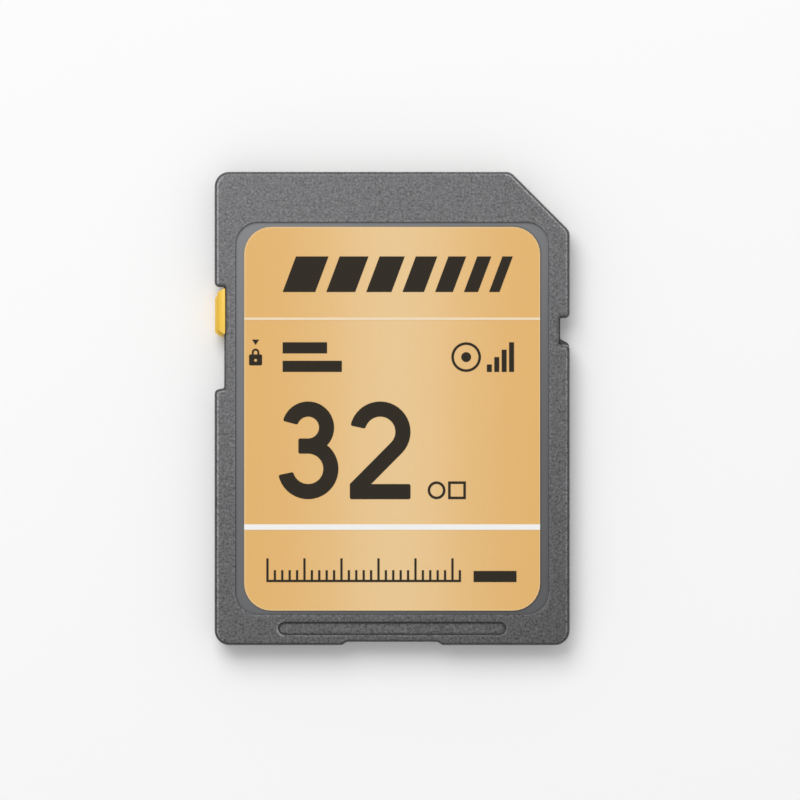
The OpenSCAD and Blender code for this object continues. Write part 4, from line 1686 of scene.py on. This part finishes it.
@dataclass
class WriteProtectTab:
    """The sliding tab in the left edge."""

    bevel: float = 0.03
    base_h: float = 0.76

    def build(self) -> None:
        """Puts a copy with broken edges in place of the slider."""
        node = "write_protect_slider"
        piece = Piece("write_protect_tab", Slot.TAB, Body.SLIDER, [node])
        mesh = SoftCopy(node, self.bevel, segments=3).mesh()
        low, high = (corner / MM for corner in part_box(node))
        plastic = TabPlastic(
            "glossy_yellow_plastic", crown_z=high.z, foot_z=low.z + self.base_h
        )
        piece.publish(mesh, plastic.material())


@dataclass
class Label:
    """The gold film in its recess, with everything printed on it."""

    layout: FaceLayout = field(default_factory=FaceLayout)
    film_bevel: float = 0.02
    white: Ink = Ink("white_ink", (0.90, 0.90, 0.89), (0.85, 0.82, 0.75), 0.3, faint_from_y=0.0)
    dark: Ink = Ink("dark_ink", (0.0130, 0.0086, 0.0020), (0.0240, 0.0190, 0.0110), 0.2)

    def build(self) -> None:
        """Dresses the film and its print, and adds the number and the lock sign."""
        low, high = (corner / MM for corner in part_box("label"))
        film = GoldFilm("satin_gold_film", self.layout.film())
        piece = Piece("gold_film", Slot.FILM, stands_for=["label"])
        piece.publish(SoftCopy("label", self.film_bevel, segments=1).mesh(), film.material())
        dress("label_light_print", self.white.material())
        ink = self.dark.material()
        dress("label_dark_print", ink)
        BigNumber().build(low.x, high.y, high.z, ink)
        LockSign().build(low.x, high.y, high.z, ink)


@dataclass
class Electronics:
    """The circuit board with its contacts and packages."""

    contact_bevel: float = 0.012
    board_bevel: float = 0.015
    package_bevel: float = 0.03
    chip_bevel: float = 0.015
    pin_out: float = 0.05
    cap_share: float = 0.25
    tan: Colour = (0.40, 0.25, 0.12)
    black: Colour = (0.02, 0.02, 0.024)

    def build(self) -> None:
        """Dresses the board, the contacts and everything soldered to the board."""
        board = Piece("solder_masked_board", Slot.BOARD, stands_for=["circuit_board"])
        mesh = SoftCopy("circuit_board", self.board_bevel, segments=1).mesh()
        board.publish(mesh, SolderMask("green_solder_mask").material())
        gold = GoldPlate("hard_gold").material()
        for number in range(1, 10):
            node = f"contact_pad_{number}"
            piece = Piece(f"gold_contact_{number}", Slot.CONTACT, stands_for=[node])
            piece.publish(SoftCopy(node, self.contact_bevel).mesh(), gold)
        self.package("flash_chip", "memory_package")
        self.package("controller_chip", "controller_package", self.pin_out)
        for number in range(1, 5):
            self.two_terminal(f"capacitor_{number}", Slot.CAPACITOR, self.tan, "Y")
        for number in range(1, 4):
            self.two_terminal(f"resistor_{number}", Slot.RESISTOR, self.black, "X")

    def package(self, node: str, name: str, pins: float = 0.0) -> None:
        """Puts a chip package in place of its node.

        Args:
            node: The CAD node.
            name: The piece's name.
            pins: How far metal stands out at its sides, or 0 where none shows.
        """
        low, high = (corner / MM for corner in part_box(node))
        middle = (low + high) / 2
        width = high.x - low.x
        resin_half = width / 2 - pins if pins else width
        resin = MouldCompound(f"{name}_resin", half_w=resin_half, middle=(middle.x, middle.y))
        piece = Piece(name, Slot.PACKAGE, stands_for=[node])
        piece.publish(SoftCopy(node, self.package_bevel).mesh(), resin.material())

    def two_terminal(self, node: str, slot: Slot, body: Colour, letter: str) -> None:
        """Puts a capacitor or a resistor in place of its node.

        Args:
            node: The CAD node.
            slot: Its material slot.
            body: The colour of its ceramic.
            letter: The axis that runs through its two ends.
        """
        low, high = (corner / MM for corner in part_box(node))
        index = "XYZ".index(letter)
        length = high[index] - low[index]
        ceramic = ChipCeramic(
            f"{node}_ceramic",
            body,
            middle=(low[index] + high[index]) / 2,
            half_body=length * (0.5 - self.cap_share),
            letter=letter,
        )
        piece = Piece(f"{node}_part", slot, stands_for=[node])
        piece.publish(SoftCopy(node, self.chip_bevel).mesh(), ceramic.material())


def dress(name: str, material: bpy.types.Material) -> None:
    """Gives a CAD node that stays a finish.

    Args:
        name: The node's name.
        material: Its material.
    """
    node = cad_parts[name]
    if not node.material_slots:
        node.data.materials.append(material)
    for slot in node.material_slots:
        slot.material = material
    LOG.info("node %s wears %s", name, material.name)


@dataclass(frozen=True)
class Lamp:
    """A soft square lamp that faces the card."""

    name: str
    share: float
    azimuth_deg: float
    elevation_deg: float
    distance: float
    size: float

    def build(self) -> None:
        """Hangs the lamp so that it lights a level face with its share of full light."""
        azimuth = math.radians(self.azimuth_deg)
        elevation = math.radians(self.elevation_deg)
        flat = math.cos(elevation)
        toward = Vector((flat * math.cos(azimuth), flat * math.sin(azimuth), math.sin(elevation)))
        data = bpy.data.lights.new(self.name, "AREA")
        data.shape = "SQUARE"
        data.size = self.size
        level_share = abs(toward.z)
        data.energy = self.share * math.pi**2 * self.distance**2 / level_share
        lamp = bpy.data.objects.new(self.name, data)
        lamp.location = toward * self.distance
        lamp.rotation_mode = "QUATERNION"
        lamp.rotation_quaternion = toward.to_track_quat("Z", "Y")
        lamp.visible_camera = False
        bpy.context.scene.collection.objects.link(lamp)
        LOG.info("lamp %s gives %.2f W", self.name, data.energy)


@dataclass
class Studio:
    """Pale floor, white surroundings, soft lamps and the camera above the card."""

    fill: float = 0.58
    floor_tone: Colour = (0.975, 0.975, 0.975)
    floor_half: float = 1.5
    floor_z: float = 0.00002
    key: Lamp = Lamp("key_lamp", 0.45, azimuth_deg=112, elevation_deg=52, distance=0.60, size=0.42)
    below: Lamp = Lamp("lower_lamp", 0.45, azimuth_deg=70, elevation_deg=-55, distance=0.35, size=0.22)
    camera_distance: float = 0.5
    frame_width: float = 54.05 * MM
    camera_offset: tuple[float, float] = (0.53 * MM, 0.57 * MM)
    camera_clip: Ramp = (0.01, 10.0)
    sensor: float = 36.0

    def world(self) -> None:
        """Makes surroundings that are white where they are seen and give a soft fill."""
        world = bpy.data.worlds.new("white_room")
        bpy.context.scene.world = world
        recipe = Recipe(world)
        path = recipe.node("LightPath", {}, {})
        rays = [Wire(recipe, path.outputs[n]) for n in ("Is Camera Ray", "Is Glossy Ray")]
        seen = recipe.maths("MAXIMUM", *rays)
        seen = seen.math("MAXIMUM", Wire(recipe, path.outputs["Is Transmission Ray"]))
        strength = self.fill + seen * (1 - self.fill)
        white = {"Color": (1.0, 1.0, 1.0, 1.0), "Strength": strength}
        recipe.node("OutputWorld", {}, {"Surface": recipe.wire("Background", {}, white)})

    def floor_material(self) -> bpy.types.Material:
        """Matt white that is clear from below and to reflections and lamps.

        Returns:
            The floor's material.
        """
        made = bpy.data.materials.new("pale_floor")
        recipe = Recipe(made)
        path = recipe.node("LightPath", {}, {})
        clear = recipe.wire("NewGeometry", {}, {}, "Backfacing")
        for ray in ("Is Shadow Ray", "Is Glossy Ray", "Is Transmission Ray"):
            clear = clear.math("MAXIMUM", Wire(recipe, path.outputs[ray]))
        matt = recipe.wire("BsdfDiffuse", {}, {"Color": (*self.floor_tone, 1.0)})
        air = recipe.wire("BsdfTransparent", {}, {})
        shader = recipe.wire("MixShader", {}, {0: clear, 1: matt, 2: air})
        recipe.node("OutputMaterial", {}, {"Surface": shader})
        return made

    def floor(self) -> None:
        """Lays the floor just above the card's back face, so that views from below see it."""
        mesh = bmesh.new()
        place = Matrix.Translation((0.0, 0.0, self.floor_z))
        bmesh.ops.create_grid(mesh, x_segments=1, y_segments=1, size=self.floor_half, matrix=place)
        floor = new_object("floor", mesh)
        floor.data.materials.append(self.floor_material())
        floor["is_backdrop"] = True

    def camera(self) -> None:
        """Sets the camera straight above the card, framed as the photograph is."""
        _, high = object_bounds()
        data = bpy.data.cameras.new("camera")
        data.sensor_width = self.sensor
        data.lens = self.sensor * self.camera_distance / self.frame_width
        data.clip_start, data.clip_end = self.camera_clip
        camera = bpy.data.objects.new("camera", data)
        camera.location = (*self.camera_offset, high.z + self.camera_distance)
        bpy.context.scene.collection.objects.link(camera)
        bpy.context.scene.camera = camera

    def build(self) -> None:
        """Sets up everything round the card."""
        bpy.context.scene.view_settings.view_transform = "Standard"
        self.camera()
        self.world()
        self.floor()
        self.key.build()
        self.below.build()


def main() -> None:
    """Builds the studio and the card's sub-assemblies in order."""
    logging.basicConfig(level=logging.INFO, format="%(message)s", stream=sys.stdout)
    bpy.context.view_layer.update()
    for part in (Studio(), Housing(), WriteProtectTab(), Label(), Electronics()):
        part.build()
        LOG.info("%s is built", type(part).__name__)


if __name__ == "__main__":
    main()
